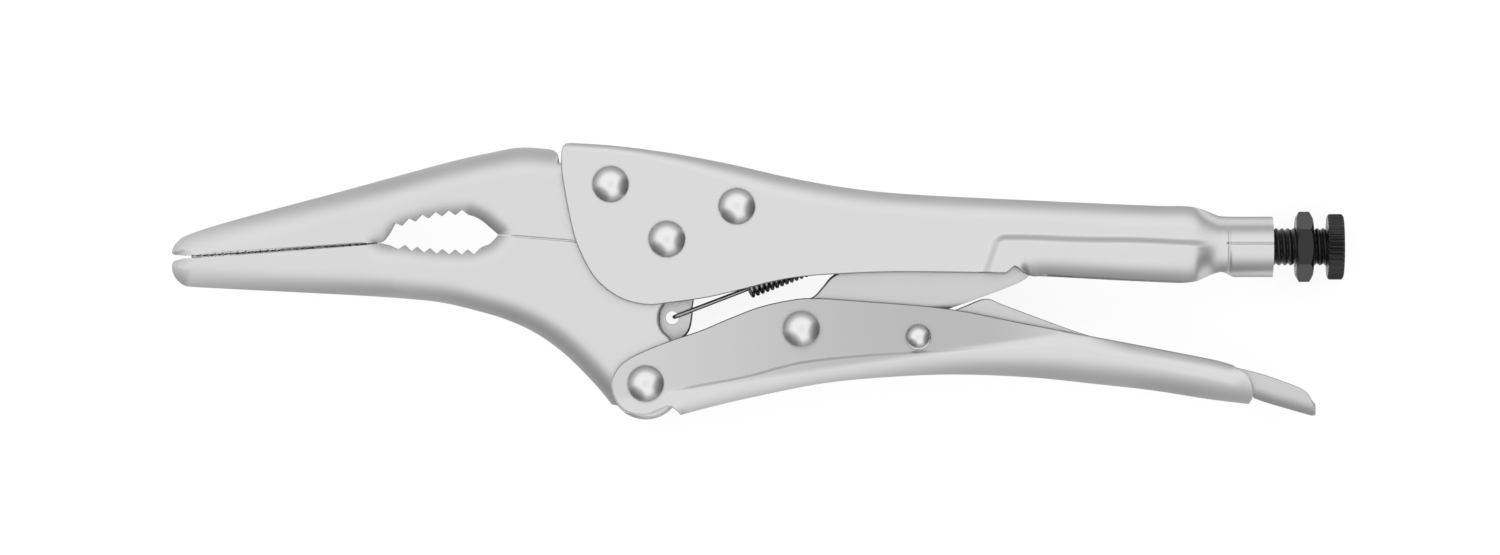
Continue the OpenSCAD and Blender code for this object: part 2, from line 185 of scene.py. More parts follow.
def contains(loop, q):
    """Whether each point of q is inside a closed loop."""
    a, b = loop, np.roll(loop, -1, axis=0)
    out = np.empty(len(q), bool)
    for s in range(0, len(q), CHUNK):
        x, y = q[s:s + CHUNK, 0, None], q[s:s + CHUNK, 1, None]
        spans = (a[:, 1] > y) != (b[:, 1] > y)
        rise = np.where(b[:, 1] == a[:, 1], 1, b[:, 1] - a[:, 1])
        at = a[:, 0] + (y - a[:, 1]) * (b[:, 0] - a[:, 0]) / rise
        out[s:s + CHUNK] = (spans & (x < at)).sum(1) % 2 == 1
    return out


def outward(loop, sharp=32):
    """Outward normals of a closed loop with its solid on the left.

    Returned are those at each segment's start, at each segment's end, and at each point.
    """
    d = np.roll(loop, -1, axis=0) - loop
    n = pair(d[:, 1], -d[:, 0]) / np.maximum(np.hypot(*d.T), TINY)[:, None]
    before = np.roll(n, 1, axis=0)
    mid = n + before
    mid /= np.maximum(np.hypot(*mid.T), TINY)[:, None]
    smooth = ((n * before).sum(1) > math.cos(math.radians(sharp)))[:, None]
    start = np.where(smooth, mid, n)
    end = np.roll(np.where(smooth, mid, before), -1, axis=0)
    return start, end, mid


# ---------- Skins ----------

def welded(p):
    """The first point at each place, and for every point which of those it joins."""
    _, first, where = np.unique(
        np.round(p * WELD).astype(np.int64), axis=0, return_index=True, return_inverse=True)
    return first, where.reshape(-1)


def without_repeats(face, where):
    """The corners of a face that don't weld to the corner before them."""
    kept = [c for k, c in enumerate(face) if where[c] != where[face[k - 1]]]
    whole = len(kept) > 2 and len(set(where[kept])) == len(kept)
    return kept if whole else []


def new_mesh(name, points, faces):
    """A smooth-shaded mesh from points in millimetres around the middle plane."""
    mesh = bpy.data.meshes.new(name)
    mesh.from_pydata(((points + [0, 0, MID_Z]) * MM).tolist(), [], faces)
    mesh.polygons.foreach_set("use_smooth", np.ones(len(faces), bool))
    return mesh


class Skin:
    """Faces with a normal at each corner, welded into one mesh at the end."""

    def __init__(self):
        self.points, self.normals, self.faces, self.count = [], [], [], 0

    def add(self, points, normals, faces):
        self.points.append(np.asarray(points, float))
        self.normals.append(np.asarray(normals, float))
        self.faces.append(np.asarray(faces, int) + self.count)
        self.count += len(points)

    def both(self, xy, z, normals, faces):
        """The same faces above and below the middle plane."""
        for side in (1, -1):
            self.add(pair(xy, side * z), normals * [1, 1, side], faces)

    def quad(self, corners, normal):
        self.add(corners, [normal] * 4, [[0, 1, 2, 3]])

    def wall(self, loop, top, bottom, side=1, use=None):
        """A wall along a loop between two heights. It faces away from the solid, or in for -1."""
        start, end, _ = outward(loop)
        use = np.ones(len(loop), bool) if use is None else use
        self.strip(pair(loop, top), pair(loop, bottom), side * flat(start), side * flat(end), use)

    def strip(self, top, bottom, start_n, end_n, use):
        """Quads between two closed rings of points, over the segments that are in use."""
        i = np.flatnonzero(use)
        j = (i + 1) % len(top)
        p = np.stack([top[i], top[j], bottom[j], bottom[i]], 1).reshape(-1, 3)
        n = np.stack([start_n[i], end_n[i], end_n[i], start_n[i]], 1).reshape(-1, 3)
        self.add(p, n, np.arange(len(p)).reshape(-1, 4))

    def piece(self, name, body, slot, *nodes):
        """The skin as one piece, every face turned the way its normals point."""
        p, n = np.vstack(self.points), np.vstack(self.normals)
        first, where = welded(p)
        faces, corners = [], []
        for block in self.faces:
            q = p[block]
            across = np.cross(q[:, 2] - q[:, 0], q[:, -1] - q[:, 1])
            flip = (across * n[block].sum(1)).sum(1) < 0
            for f, back in zip(block.tolist(), flip.tolist()):
                kept = without_repeats(f[::-1] if back else f, where)
                if kept:
                    faces.append(where[kept].tolist())
                    corners.extend(n[kept])
        mesh = new_mesh(name, p[first], faces)
        length = np.linalg.norm(corners, axis=1)[:, None]
        mesh.normals_split_custom_set((np.array(corners) / np.maximum(length, TINY)).tolist())
        mesh.update()
        return join_in(mesh, name, body, slot, *nodes)


def join_in(mesh, name, body, slot, *nodes):
    """Puts a mesh in the scene as a piece that rides on a body in place of CAD nodes."""
    piece = bpy.data.objects.new(name, mesh)
    bpy.context.scene.collection.objects.link(piece)
    # On the handle the satin nickel is swapped for a copy with painted shade on its flat panel.
    on_handle = body == "lower_handle" and slot == "satin_nickel"
    mesh.materials.append(MATERIALS["handle_nickel_painted_shade" if on_handle else slot])
    if body:
        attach(piece, body)
    if nodes:
        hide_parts(*nodes)
    return piece


def kept_regions(tris, xy, inside, origin, edges):
    """Which triangles to keep: each region that the loops bound goes by its largest triangle.

    A region with no triangle above SLIVER lies along the outside of a straight edge.
    """
    place = {given: i for i, ids in enumerate(origin) for given in ids}
    border = {frozenset((place[a], place[b])) for a, b in edges}
    sides = [[frozenset((a, b)), frozenset((b, c)), frozenset((c, a))] for a, b, c in tris.tolist()]
    owners = {}
    for i, three in enumerate(sides):
        for side in three:
            if side not in border:
                owners.setdefault(side, []).append(i)
    p, q = xy[tris[:, 1]] - xy[tris[:, 0]], xy[tris[:, 2]] - xy[tris[:, 0]]
    area = np.abs(p[:, 0] * q[:, 1] - p[:, 1] * q[:, 0])
    keep, seen = np.zeros(len(tris), bool), np.zeros(len(tris), bool)
    for start in np.argsort(-area, kind="stable").tolist():
        waiting = [] if seen[start] else [start]
        seen[start] = True
        while waiting:
            i = waiting.pop()
            keep[i] = inside[start] and area[start] > SLIVER
            for side in sides[i]:
                for j in owners.get(side, ()):
                    if not seen[j]:
                        seen[j] = True
                        waiting.append(j)
    return keep


def fill(loops, free, height):
    """Triangles inside the first loop and outside the others, with heights and normals.

    At the loops the slope is taken a little way in, where the height is smooth.
    """
    shift = np.vstack([-INSET * outward(loop)[2] for loop in loops] + [np.zeros_like(free)])
    given = np.vstack([*loops, free])
    edges, base = [], 0
    for loop in loops:
        n = len(loop)
        edges += [(base + i, base + (i + 1) % n) for i in range(n)]
        base += n
    found = delaunay_2d_cdt([Vector(c) for c in given.tolist()], edges, [], 0, 1e-5, True)
    source = np.array([o[0] for o in found[3]])
    xy, nudge = given[source], shift[source]
    tris = np.array([f for f in found[2] if len(f) == 3])
    middle = xy[tris].mean(1)
    inside = contains(loops[0], middle)
    for hole in loops[1:]:
        inside &= ~contains(hole, middle)
    keep = kept_regions(tris, xy, inside, found[3], edges)
    near = xy + nudge
    slope_x = (height(near + [PROBE, 0]) - height(near - [PROBE, 0])) / (2 * PROBE)
    slope_y = (height(near + [0, PROBE]) - height(near - [0, PROBE])) / (2 * PROBE)
    normals = np.column_stack([-slope_x, -slope_y, np.ones(len(xy))])
    normals /= np.linalg.norm(normals, axis=1)[:, None]
    return xy, height(xy), normals, tris[keep]


def inner_points(loops, chains, spacing, levels=7, dense=(), along=()):
    """Free points for a fill: rows that follow each rounded chain and crease, then even grids.

    dense lists finer grids as (low corner, high corner, step), and along the creases with
    how far the rows reach to each side.
    """
    rows = [beside(line, off) for line, reach in along
            for off in np.linspace(-reach, reach, ROWS_BESIDE)]
    for line, r, _ in chains:
        radius = r(line) if callable(r) else np.full(len(line), float(r))
        count = levels if radius.max() > 1 else 3
        for k in range(1, count + 1):
            deep = 1 - math.cos(math.pi / 2 * k / count)
            q = beside(line, radius * deep)
            own = distance(q, line) > 0.97 * radius * deep
            rows.append(q[own])
    low, high = loops[0].min(0), loops[0].max(0)
    grids = [(low, high, spacing)] + list(dense)
    for a, b, step in grids:
        x, y = np.meshgrid(np.arange(a[0] + step / 2, b[0], step),
                           np.arange(a[1] + step / 2, b[1], step))
        x[::2] += step / 2
        rows.append(pair(x.ravel(), y.ravel()))
    free = np.vstack(rows)
    ok = contains(loops[0], free)
    for hole in loops[1:]:
        ok &= ~contains(hole, free)
    free = free[ok]
    closed = [np.vstack([loop, loop[:1]]) for loop in loops]
    clear = np.min([distance(free, line) for line in closed], axis=0)
    free = free[clear > CLEAR]
    cell = np.round(free / CELL).astype(int)
    return free[np.sort(np.unique(cell, axis=0, return_index=True)[1])]


def circle(place, r, n=48):
    """A hole's loop, run so that the solid is on its left."""
    return arc(place, r, 360, 0, n)[:-1]


def level(h):
    """A height that is the same everywhere."""
    return lambda q: np.full(len(q), h)


def plate(name, body, slot, chains, thick, holes=(), spacing=1.6, guides=None, nodes=()):
    """A forged plate whose faces round off towards its edges.

    Each chain is an open line of the outline, with the radius of its rounding and the share
    of the thickness that it takes off. A guide is a smoother line that the rounding follows
    instead of its chain. thick gives half the thickness at a point.
    """
    loop = np.vstack([line[:-1] for line, _, _ in chains])
    loops = [loop] + [circle(*hole) for hole in holes]
    guides = guides or {}
    edges = [(guides.get(i, line), r, cut) for i, (line, r, cut) in enumerate(chains)]
    edges += [(np.vstack([c, c[:1]]), HOLE_R, HOLE_CUT) for c in loops[1:]]

    def height(q):
        off = 0
        for line, r, cut in edges:
            off = off + (cut * (1 - shoulder(distance(q, line) / r))) ** BLEND
        return thick(q) * (1 - off ** (1 / BLEND))

    skin = Skin()
    xy, z, n, tris = fill(loops, inner_points(loops, edges, spacing), height)
    skin.both(xy, z, n, tris)
    for ring in loops:
        skin.wall(ring, height(ring), -height(ring))
    return skin.piece(name, body, slot, *nodes)


def fold_row(z, lips):
    """How far from the middle a fold's wall is divided: at the slot's edge, or where a lip ends."""
    return mix(np.minimum(SLOT_HALF, 0.5 * z), np.minimum(LIP_GAP, z), lips)


def slot_walls(skin, outer, inner, cut):
    """The four walls of a slot through the fold, over the segments that it cuts."""
    ends = (cut[0], (cut[-1] + 1) % len(outer))
    for k, other in (ends, ends[::-1]):
        away = np.sign(outer[other, 0] - outer[k, 0])
        corners = [[*outer[k], SLOT_HALF], [*inner[k], SLOT_HALF],
                   [*inner[k], -SLOT_HALF], [*outer[k], -SLOT_HALF]]
        skin.quad(corners, [away, 0, 0])
    for k in cut:
        j = (k + 1) % len(outer)
        for side in (1, -1):
            corners = [[*p, side * SLOT_HALF] for p in (outer[k], outer[j], inner[j], inner[k])]
            skin.quad(corners, [0, 0, -side])


def pressing(name, body, slot, outer, inner, walled, outer_z, inner_z, edges, holes=(), spacing=1.6,
             dense=(), along=(), slot_x=None, lips=0.0, nodes=()):
    """A folded sheet.

    outer and inner are the loops of its two faces, point for point. walled marks the segments
    where each face runs on over the fold to the other side; elsewhere the sheet ends in a rim.
    outer_z and inner_z give the faces' heights, and edges holds the rounded chains of each.
    slot_x is the stretch of the fold with a slot through it. lips is 1 where the rim turns in
    towards the middle and stops LIP_GAP short of it.
    """
    skin = Skin()
    lips = np.broadcast_to(lips, len(outer))
    rings = [circle(*hole) for hole in holes]
    in_slot = np.zeros(len(outer), bool)
    if slot_x:
        middle_x = (outer[:, 0] + np.roll(outer[:, 0], -1)) / 2
        in_slot = walled & (middle_x > slot_x[0]) & (middle_x < slot_x[1])
        slot_walls(skin, outer, inner, np.flatnonzero(in_slot))
    faces = []
    for loop, height, sign, lines in ((outer, outer_z, 1, edges[0]), (inner, inner_z, -1, edges[1])):
        creases = along if sign > 0 else ()
        free = inner_points([loop] + rings, lines, spacing, dense=dense, along=creases)
        xy, z, n, tris = fill([loop] + rings, free, height)
        skin.both(xy, z, n * sign, tris)
        z = height(loop)
        row = fold_row(z, lips)
        rim = mix(z, np.minimum(LIP_GAP, z), lips)
        for a, b, use in ((z, row, walled), (row, -row, walled & ~in_slot), (-row, -z, walled),
                          (z, rim, ~walled), (-rim, -z, ~walled)):
            skin.wall(loop, a, b, sign, use)
        faces.append((rim, row))
    (rim_out, row_out), (rim_in, row_in) = faces
    start, end, _ = outward(outer)
    upright, down = 1 - lips[:, None], lips[:, None] * [0, 0, -1]
    for side in (1, -1):
        turned_n = [(flat(n) * upright + down) * [1, 1, side] for n in (start, end)]
        skin.strip(pair(outer, side * rim_out), pair(inner, side * rim_in), *turned_n, ~walled)
        for ring in rings:
            skin.wall(ring, side * outer_z(ring), side * inner_z(ring))
    for k in np.flatnonzero(walled != np.roll(walled, 1)):
        rim, row = np.array([rim_out[k], rim_in[k]]), np.array([row_out[k], row_in[k]])
        face_n = np.cross([*(inner[k] - outer[k]), 0], [0, 0, 1])
        toward = outer[k] - (outer[(k + 1) % len(outer)] if walled[k] else outer[k - 1])
        face_n = face_n * np.sign(face_n[:2] @ toward)
        for a, b in ((rim, row), (row, -row), (-row, -rim)):
            corners = [[*outer[k], a[0]], [*inner[k], a[1]], [*inner[k], b[1]], [*outer[k], b[0]]]
            skin.quad(corners, face_n)
    return skin.piece(name, body, slot, *nodes)


def tube_quads(m, n):
    """Quads between m rings of n points each."""
    k, i = np.meshgrid(np.arange(m - 1), np.arange(n), indexing="ij")
    j = (i + 1) % n
    return np.stack([k * n + i, k * n + j, (k + 1) * n + j, (k + 1) * n + i], -1).reshape(-1, 4)


def turned(name, body, slot, axis, place, rows, nodes=(), sharp=28):
    """A skin over rings of points around the x or z axis.

    Each row is (distance along the axis, radius of each ring point). The first and last rows
    close on the axis or on each other. Edges above the sharp angle, in degrees, stay sharp.
    """
    rings = []
    for along, radius in rows:
        radius = np.asarray(radius, float)
        a = np.linspace(0, 2 * math.pi, len(radius), endpoint=False)
        along = np.broadcast_to(along, radius.shape)
        u, v = radius * np.cos(a), radius * np.sin(a)
        rings.append(np.column_stack([u, v, along] if axis == "z" else [along, u, v]))
    p = np.vstack(rings) + place
    first, where = welded(p)
    kept = [without_repeats(f, where) for f in tube_quads(len(rings), len(rings[0])).tolist()]
    mesh = new_mesh(name, p[first], [where[f].tolist() for f in kept if f])
    mesh.set_sharp_from_angle(angle=math.radians(sharp))
    mesh.update()
    return join_in(mesh, name, body, slot, *nodes)


# ---------- Materials ----------

CLOUD_SCALE = 55
BUMP_DEPTH = 0.00002
TINT = (0.3, 0.3, 0.3, 1)
# Grey multiplied into the handle's flat panel as painted shade.
PANEL_SHADE = (0.70, 0.705, 0.70, 1)


def add_node(tree, kind, inputs, **settings):
    """A shader node, each input of which is a value or another node's output."""
    node = tree.nodes.new("ShaderNode" + kind)
    for key, value in settings.items():
        setattr(node, key, value)
    for key, value in inputs.items():
        if isinstance(value, bpy.types.NodeSocket):
            tree.links.new(value, node.inputs[key])
        else:
            node.inputs[key].default_value = value
    return node.outputs


def ramp(tree, value, a, b, low, high, kind="LINEAR"):
    """Runs from low where the value is a to high where it is b."""
    span = {"Value": value, "From Min": a, "From Max": b, "To Min": low, "To Max": high}
    return add_node(tree, "MapRange", span, interpolation_type=kind)["Result"]


def blend_colours(tree, factor, a, b, kind="MIX"):
    return add_node(tree, "Mix", {"Factor": factor, "A": a, "B": b}, data_type="RGBA",
                    blend_type=kind)["Result"]


def material(name, colour, metallic, roughness, grain, bump, vary, rough_vary, shine=0.5):
    """A finish with fine grain, whose roughness and tone drift a little over the piece; the handle's
    copy also gets painted shade on its flat panel.
    """
    finish = bpy.data.materials.new(name)
    finish.use_nodes = True
    tree = finish.node_tree
    bsdf = tree.nodes["Principled BSDF"].inputs
    bsdf["Metallic"].default_value = metallic
    bsdf["Specular IOR Level"].default_value = shine
    if metallic:
        bsdf["Specular Tint"].default_value = TINT
    where = add_node(tree, "TexCoord", {})["Object"]
    clouds, fine = [
        add_node(tree, "TexNoise", {"Vector": where, "Scale": scale, "Detail": detail,
                                    "Roughness": 0.6})["Fac"]
        for scale, detail in ((CLOUD_SCALE, 4), (grain, 3))]
    half = add_node(tree, "Math", {0: clouds, 1: 0.5}, operation="MULTIPLY")[0]
    both = add_node(tree, "Math", {0: fine, 1: 0.5, 2: half}, operation="MULTIPLY_ADD")[0]
    darker = (*[c * (1 - vary) for c in colour], 1)
    lighter = (*[min(1, c * (1 + vary)) for c in colour], 1)
    tone = blend_colours(tree, ramp(tree, both, 0.3, 0.7, 0, 1), darker, lighter)
    # Only the handle's copy of satin nickel gets painted shade over its flat panel.
    if name == "handle_nickel_painted_shade":
        tone = paint_panel_shade(tree, where, tone)
    tree.links.new(tone, bsdf["Base Color"])
    rough = ramp(tree, clouds, 0.3, 0.7, roughness - rough_vary, roughness + rough_vary)
    tree.links.new(rough, bsdf["Roughness"])
    push = add_node(tree, "Bump", {"Strength": bump, "Distance": BUMP_DEPTH, "Height": fine})
    tree.links.new(push["Normal"], bsdf["Normal"])
    return finish


def paint_panel_shade(tree, where, tone):
    """Painted shade: the handle's flat panel is darkened against the band below it, most of all around
    its middle.
    """
    place = add_node(tree, "SeparateXYZ", {"Vector": where})

    def combine(operation, a, b):
        return add_node(tree, "Math", {0: a, 1: b}, operation=operation)[0]

    # The panel's lower edge is close to a straight line that rises to the rear (in metres).
    edge = combine("ADD", combine("MULTIPLY", place["X"], 0.145), -0.0327)
    above = combine("SUBTRACT", place["Y"], edge)
    on_panel = ramp(tree, above, -0.0004, 0.001, 0.0, 1.0, "SMOOTHSTEP")
    grows = ramp(tree, place["X"], -0.02, 0.058, 0.28, 1.0, "SMOOTHSTEP")
    fades = ramp(tree, place["X"], 0.066, 0.1, 1.0, 0.0, "SMOOTHSTEP")
    share = combine("MULTIPLY", on_panel, combine("MULTIPLY", grows, fades))
    return blend_colours(tree, share, tone, PANEL_SHADE, "MULTIPLY")


NICKEL = (0.69, 0.693, 0.69)
LINK_NICKEL = (0.605, 0.608, 0.605)

# Name, colour, metallic, roughness, grain, bump, drift of tone, drift of roughness, shine.
FINISHES = (
    ("satin_nickel", NICKEL, 1, 0.36, 5200, 0.25, 0.012, 0.03),
    ("forged_nickel", NICKEL, 1, 0.40, 3600, 0.3, 0.015, 0.035),
    ("link_nickel", LINK_NICKEL, 1, 0.38, 4200, 0.3, 0.015, 0.03),
    ("polished_rivet", (0.76, 0.76, 0.76), 1, 0.2, 2400, 0.08, 0.01, 0.03),
    ("spring_steel", (0.38, 0.375, 0.365), 1, 0.24, 2600, 0.15, 0.08, 0.05),
    # A copy of satin nickel for the handle, whose flat panel gets painted shade.
    ("handle_nickel_painted_shade", NICKEL, 1, 0.36, 5200, 0.25, 0.012, 0.03),
    ("black_oxide", (0.009, 0.009, 0.0085), 0, 0.32, 2800, 0.3, 0.1, 0.06, 0.45),
)
MATERIALS = {finish[0]: material(*finish) for finish in FINISHES}


# ---------- Body ----------

TUBE_R = 6.45
TUBE_TOP = SCREW_Y + TUBE_R
TUBE_LOW = SCREW_Y - TUBE_R
TUBE_X = 119.5
BODY_END = 129.2
STEP = 1.05
CREASE_HALF = 1.1
BEVEL = 0.4
LIP_GAP = 0.4
FOLD_DROP = 0.42
LEAST_FOLD = 0.4
FRONT_X = -21.0
NOTCH_END = 78.5
TUBE_START = 118.2
SLOT_X = (49.6, 54.6)
LOBE_END = (69.4, -3.2)
LOBE_DIR = (0.94, -0.33)
LOBE_SLOPE = 0.351
LOW_TURN, LOW_TURN_INSIDE, LOW_R = 2.6, 2.4, 5.6
SEAM_DEPTH, SEAM_W = 0.28, 0.2
RING_DEPTH, RING_W = 0.16, 0.3
RING_X = TUBE_X + 0.3

body_top_line = curve([
    [-24, 20.6], [-12, 19.9], [0.7, 18.3], [13.6, 15.9], [26.4, 13.0], [39, 10.8], [52, 9.5],
    [78, 8.2], [103, 7.1], [110, 7.0], [113.5, 6.5], [117, 5.2], [TUBE_X, TUBE_TOP],
    [BODY_END + 1, TUBE_TOP]
])
body_low_line = np.vstack([
    curve([[72, -8.2], [78, -8.0], [81, -8.0], [96, -8.8], [107, -9.3], [110, -9.35], [113, -8.9],
           [116, -7.6], [TUBE_START, -6.95]]),
    [[119.3, -7.2], [120.9, TUBE_LOW], [BODY_END + 1, TUBE_LOW]]])


def body_top(x):
    return np.interp(x, *body_top_line.T)


def body_low(x):
    return np.interp(x, *body_low_line.T)


def body_sheet(x):
    """Thickness of the sheet, which is drawn thinner in the neck."""
    return SHEET_T - 0.5 * ease(x, 110, 117) + 0.7 * ease(x, 116, 119)


def body_closed(x):
    """1 where the sheet's lower edges turn in and all but meet."""
    return ease(x, 80.8, 82.6)


def body_fold(q):
    """Radius of the fold along the top."""
    return mix(1.7, 5.0, ease(q[:, 0], -14, 26))


def crease_y(x):
    """Height of the crease under the raised lobe, and of the tube's seam behind it."""
    return 0.35 - 0.5 * ease(x, 74, 92) - 0.75 * ease(x, 95, 118)


def body_z(q, t):
    """Height of the body's side, t inside its outer face."""
    x, y = q.T
    outside = np.all(np.equal(t, 0))
    tube = ease(x, 112, TUBE_X)

    # The flat side, rounded over the fold along the top.
    w = mix(HALF_W, TUBE_R, ease(x, 110, TUBE_X)) - t
    r = np.maximum(body_fold(q) - t, LEAST_FOLD)
    drop = FOLD_DROP * r
    rise = np.diff(body_top_line[:, 1]) / np.diff(body_top_line[:, 0])
    slant = 1 / np.hypot(1, np.interp(x, body_top_line[:-1, 0], rise))
    fold = (body_top(x) - t - y) * slant
    z = w - drop + drop * shoulder(fold / r)

    # The raised lobe, between its slanting front end and the crease above it.
    lean = (x - LOBE_END[0]) * LOBE_DIR[0] + (y - LOBE_END[1]) * LOBE_DIR[1]
    below = ease((crease_y(x) - y) / CREASE_HALF, -1, 1)
    z = z + STEP * ease(lean, -1.6, 1.3) * below * (1 - tube)

    # The lower edge, which turns in towards the middle.
    low = body_low(x) + t * body_closed(x)
    turned_in = ease(x, 74.6, 77.6) if outside else body_closed(x)
    deep = LOW_TURN if outside else LOW_TURN_INSIDE
    z = z - turned_in * deep * (1 - shoulder((y - low) / (LOW_R - t)))

    # The round tube, with the seam where the edges meet and a groove around its start.
    high = body_top(x) - t
    keel = np.interp(x, [110, 113, 116, TUBE_X], [-9.35, -9.0, -8.4, TUBE_LOW]) + t
    middle, half = (high + keel) / 2, (high - keel) / 2
    oval = w * np.sqrt(np.maximum(1 - ((y - middle) / half) ** 2, 0))
    z = mix(z, oval, tube)
    if outside:
        z = z - np.exp(-((y - crease_y(x)) / SEAM_W) ** 2) * SEAM_DEPTH * ease(x, 118.9, 119.7)
        z = z - np.exp(-((x - RING_X) / RING_W) ** 2) * RING_DEPTH
    return np.maximum(z, 0)


body_front = curve([
    [FRONT_X, body_top(FRONT_X)], [-21.8, 20.1], [-22.3, 19.1], [-22.5, 16.2], [-22.0, 11.6],
    [-20.2, 2.4], [-18.4, -2.9], [-15.1, -8.6], [-10.1, -12.5], [-4.5, -14.0], [0.5, -13.6],
    [8.3, -12.5], [15.4, -10.9], [22.5, -9.1], [28.4, -8.1], [36, -7.5], [49.7, -7.05],
    [72.2, -7.3]
], 10)
body_notch = [[72.2, -7.3], [74.0, -5.8], [75.2, -6.5], [76.0, -7.3], [77.2, -7.75],
              [NOTCH_END, body_low(NOTCH_END)]]
low_x = np.concatenate([np.arange(NOTCH_END, TUBE_START, 0.5),
                        [TUBE_START, 118.7, 119.3, 120.1, 120.9],
                        np.arange(121.5, BODY_END, 0.6), [BODY_END]])
body_edge = np.vstack([split(body_front, 0.6), split(body_notch, 0.4)[1:],
                       pair(low_x, body_low(low_x))[1:]])
rear_y = mix(TUBE_LOW, TUBE_TOP, (1 - np.cos(np.linspace(0, math.pi, 33))) / 2)
body_rear = pair(np.full(len(rear_y), BODY_END), rear_y)
top_x = np.concatenate([np.arange(FRONT_X, SLOT_X[0] - 0.1, 0.6), [SLOT_X[0]],
                        np.arange(SLOT_X[0] + 0.6, SLOT_X[1] - 0.1, 0.6), [SLOT_X[1]],
                        np.arange(SLOT_X[1] + 0.6, BODY_END - 0.2, 0.6), [BODY_END]])
body_spine = pair(top_x, body_top(top_x))[::-1]
body_outer = np.vstack([body_edge[:-1], body_rear[:-1], body_spine[:-1]])
n_edge, n_rear = len(body_edge) - 1, len(body_rear) - 1
step_at = np.arange(len(body_outer))
is_rear = (step_at >= n_edge) & (step_at <= n_edge + n_rear)
is_spine = step_at >= n_edge + n_rear
is_tube = (body_outer[:, 0] >= TUBE_START - 1e-6) & (step_at < n_edge)

# The inner face's loop: the same points, moved in by the sheet's thickness along the fold and
# around the tube. At the fold's front end the free edge's points are pressed together below it.
ox, oy = body_outer.T
front_top = body_top(FRONT_X)
fold_reach = 2 * SHEET_T
front_y = np.where((ox < 0) & (oy > front_top - fold_reach), (oy + front_top - fold_reach) / 2, oy)
inner_y = np.where(is_spine, oy - body_sheet(ox), np.where(step_at < n_edge, front_y, oy))
inner_y = np.where((step_at < n_edge) & (ox > 78), oy + body_sheet(ox) * body_closed(ox), inner_y)
bore_share = (TUBE_R - body_sheet(BODY_END)) / TUBE_R
inner_y = np.where(is_rear, SCREW_Y + (oy - SCREW_Y) * bore_share, inner_y)
inner_y[0] = front_top - SHEET_T
body_inner = pair(ox, inner_y)
body_walled = is_spine | is_tube
free_edge = body_edge[body_edge[:, 0] < 111]

crease_x = np.arange(66, 119.4, 0.5)
crease_line = pair(crease_x, crease_y(crease_x))
slant_y = np.arange(-7.6, 1.4, 0.5)
slant_line = pair(LOBE_END[0] + (slant_y - LOBE_END[1]) * LOBE_SLOPE, slant_y)
seam_x = np.arange(118.6, BODY_END, 0.3)
tube_seam = pair(seam_x, crease_y(seam_x))
ring_y = np.arange(TUBE_LOW + 0.6, TUBE_TOP - 0.2, 0.4)
neck_ring = pair(np.full(len(ring_y), RING_X), ring_y)


def body_outer_z(q):
    z = body_z(q, np.zeros(len(q)))
    open_part = 1 - ease(q[:, 0], 108.5, 111)
    return np.maximum(z - BEVEL * open_part * (1 - round_off(distance(q, free_edge) / BEVEL)), 0)


def body_inner_z(q):
    return body_z(q, body_sheet(q[:, 0]))


def lip_radius(q):
    return BEVEL + 5.2 * ease(q[:, 0], 74, 77)


pressing(
    "body_shell_pressing", "body", "satin_nickel", body_outer, body_inner, body_walled,
    body_outer_z, body_inner_z,
    edges=([(body_spine, body_fold, 0), (body_edge, lip_radius, 0)],
           [(body_inner[is_spine], lambda q: np.maximum(body_fold(q) - SHEET_T, LEAST_FOLD), 0)]),
    holes=[(place, RIVET_HOLE) for place in (JAW_PIVOT, FRONT_RIVET, REAR_RIVET)], spacing=1.7,
    dense=[((64, -10), (BODY_END, 9), 0.8)],
    along=[(crease_line, 1.2), (slant_line, 1.7), (tube_seam, 0.48), (neck_ring, 0.7)],
    slot_x=SLOT_X, lips=body_closed(ox) * ~is_rear * ~is_spine, nodes=["body_shell"])

tab_line = split([[42.4, 8.9], [43.4, 8.0], [43.2, 0.4], [44.2, -1.2], [46.4, -0.6],
                  [47.2, 1.2], [48.4, 8.0], [48.4, 8.9], [42.4, 8.9]], 0.4)
plate("body_spring_tab", "body", "satin_nickel", [(tab_line, 0.2, 0.3)], level(0.7),
      holes=[(SPRING_END, 0.85)])


# ---------- Jaws ----------

GRIP_FRONT, GRIP_REAR = -61.3, -36
FULL_X = -58
SEAM = np.array([[-110, -4.35], [-61, -0.85], [GRIP_REAR, 0.9], [-20, -0.45], [-6, -0.6]])
SERRATION_PITCH, SERRATION_DEPTH = 1.6, 0.12
TOOTH = 1.15
GRIP_ROUND, GRIP_CUT = 4.2, 0.34
SEAM_ROUND = 0.4


def jaw_half(q):
    """Half the thickness of a jaw, which thins towards its nose."""
    t = np.clip((q[:, 0] - NOSE_X + 1) / (FULL_X - NOSE_X + 1), 0, 1)
    return mix(NOSE_HALF, JAW_HALF, t)


def seam_y(x, side):
    """The line where the jaws meet, on the upper (side 1) or the lower jaw (side -1)."""
    gap = mix(0.6, 0.36, ease(x, NOSE_X, -94)) * (1 - 0.66 * ease(x, -62, -60))
    return np.interp(x, *SEAM.T) + side * gap / 2


def grip_arch(x, side):
    """The arch through the roots of the pipe grip's teeth."""
    if side > 0:
        return 6.35 - 0.0136 * (x + 43.5) ** 2
    return -3.42 + 0.0068 * (x + 44) ** 2


def grip_row(side):
    """Roots and tips of the pipe grip's teeth on one side."""
    x = np.linspace(-58.05, -42.4, 12) if side > 0 else np.linspace(-57.3, -41.2, 13)
    tip = np.arange(len(x)) % 2
    return pair(x, grip_arch(x, side) - side * TOOTH * tip)


def grip_guide(side):
    """A smooth line over the tips of the teeth."""
    x = np.linspace(-57.4, -42.4, 26)
    tips = pair(x, grip_arch(x, side) - side * (TOOTH + 0.02))
    if side > 0:
        front = [[-60.2, -0.4], [-58.9, 0.9]]
        rear = [[-40.8, 4.55], [-39.3, 3.7], [-37.4, 2.1]]
    else:
        front = [[-59.3, -1.15]]
        rear = [[-41.2, -2.15], [-39.6, -1.65], [-37.9, -0.95], [-36.8, 0.05]]
    return np.vstack([[[GRIP_FRONT, -0.8]], front, tips, rear, [[GRIP_REAR, 0.9]]])


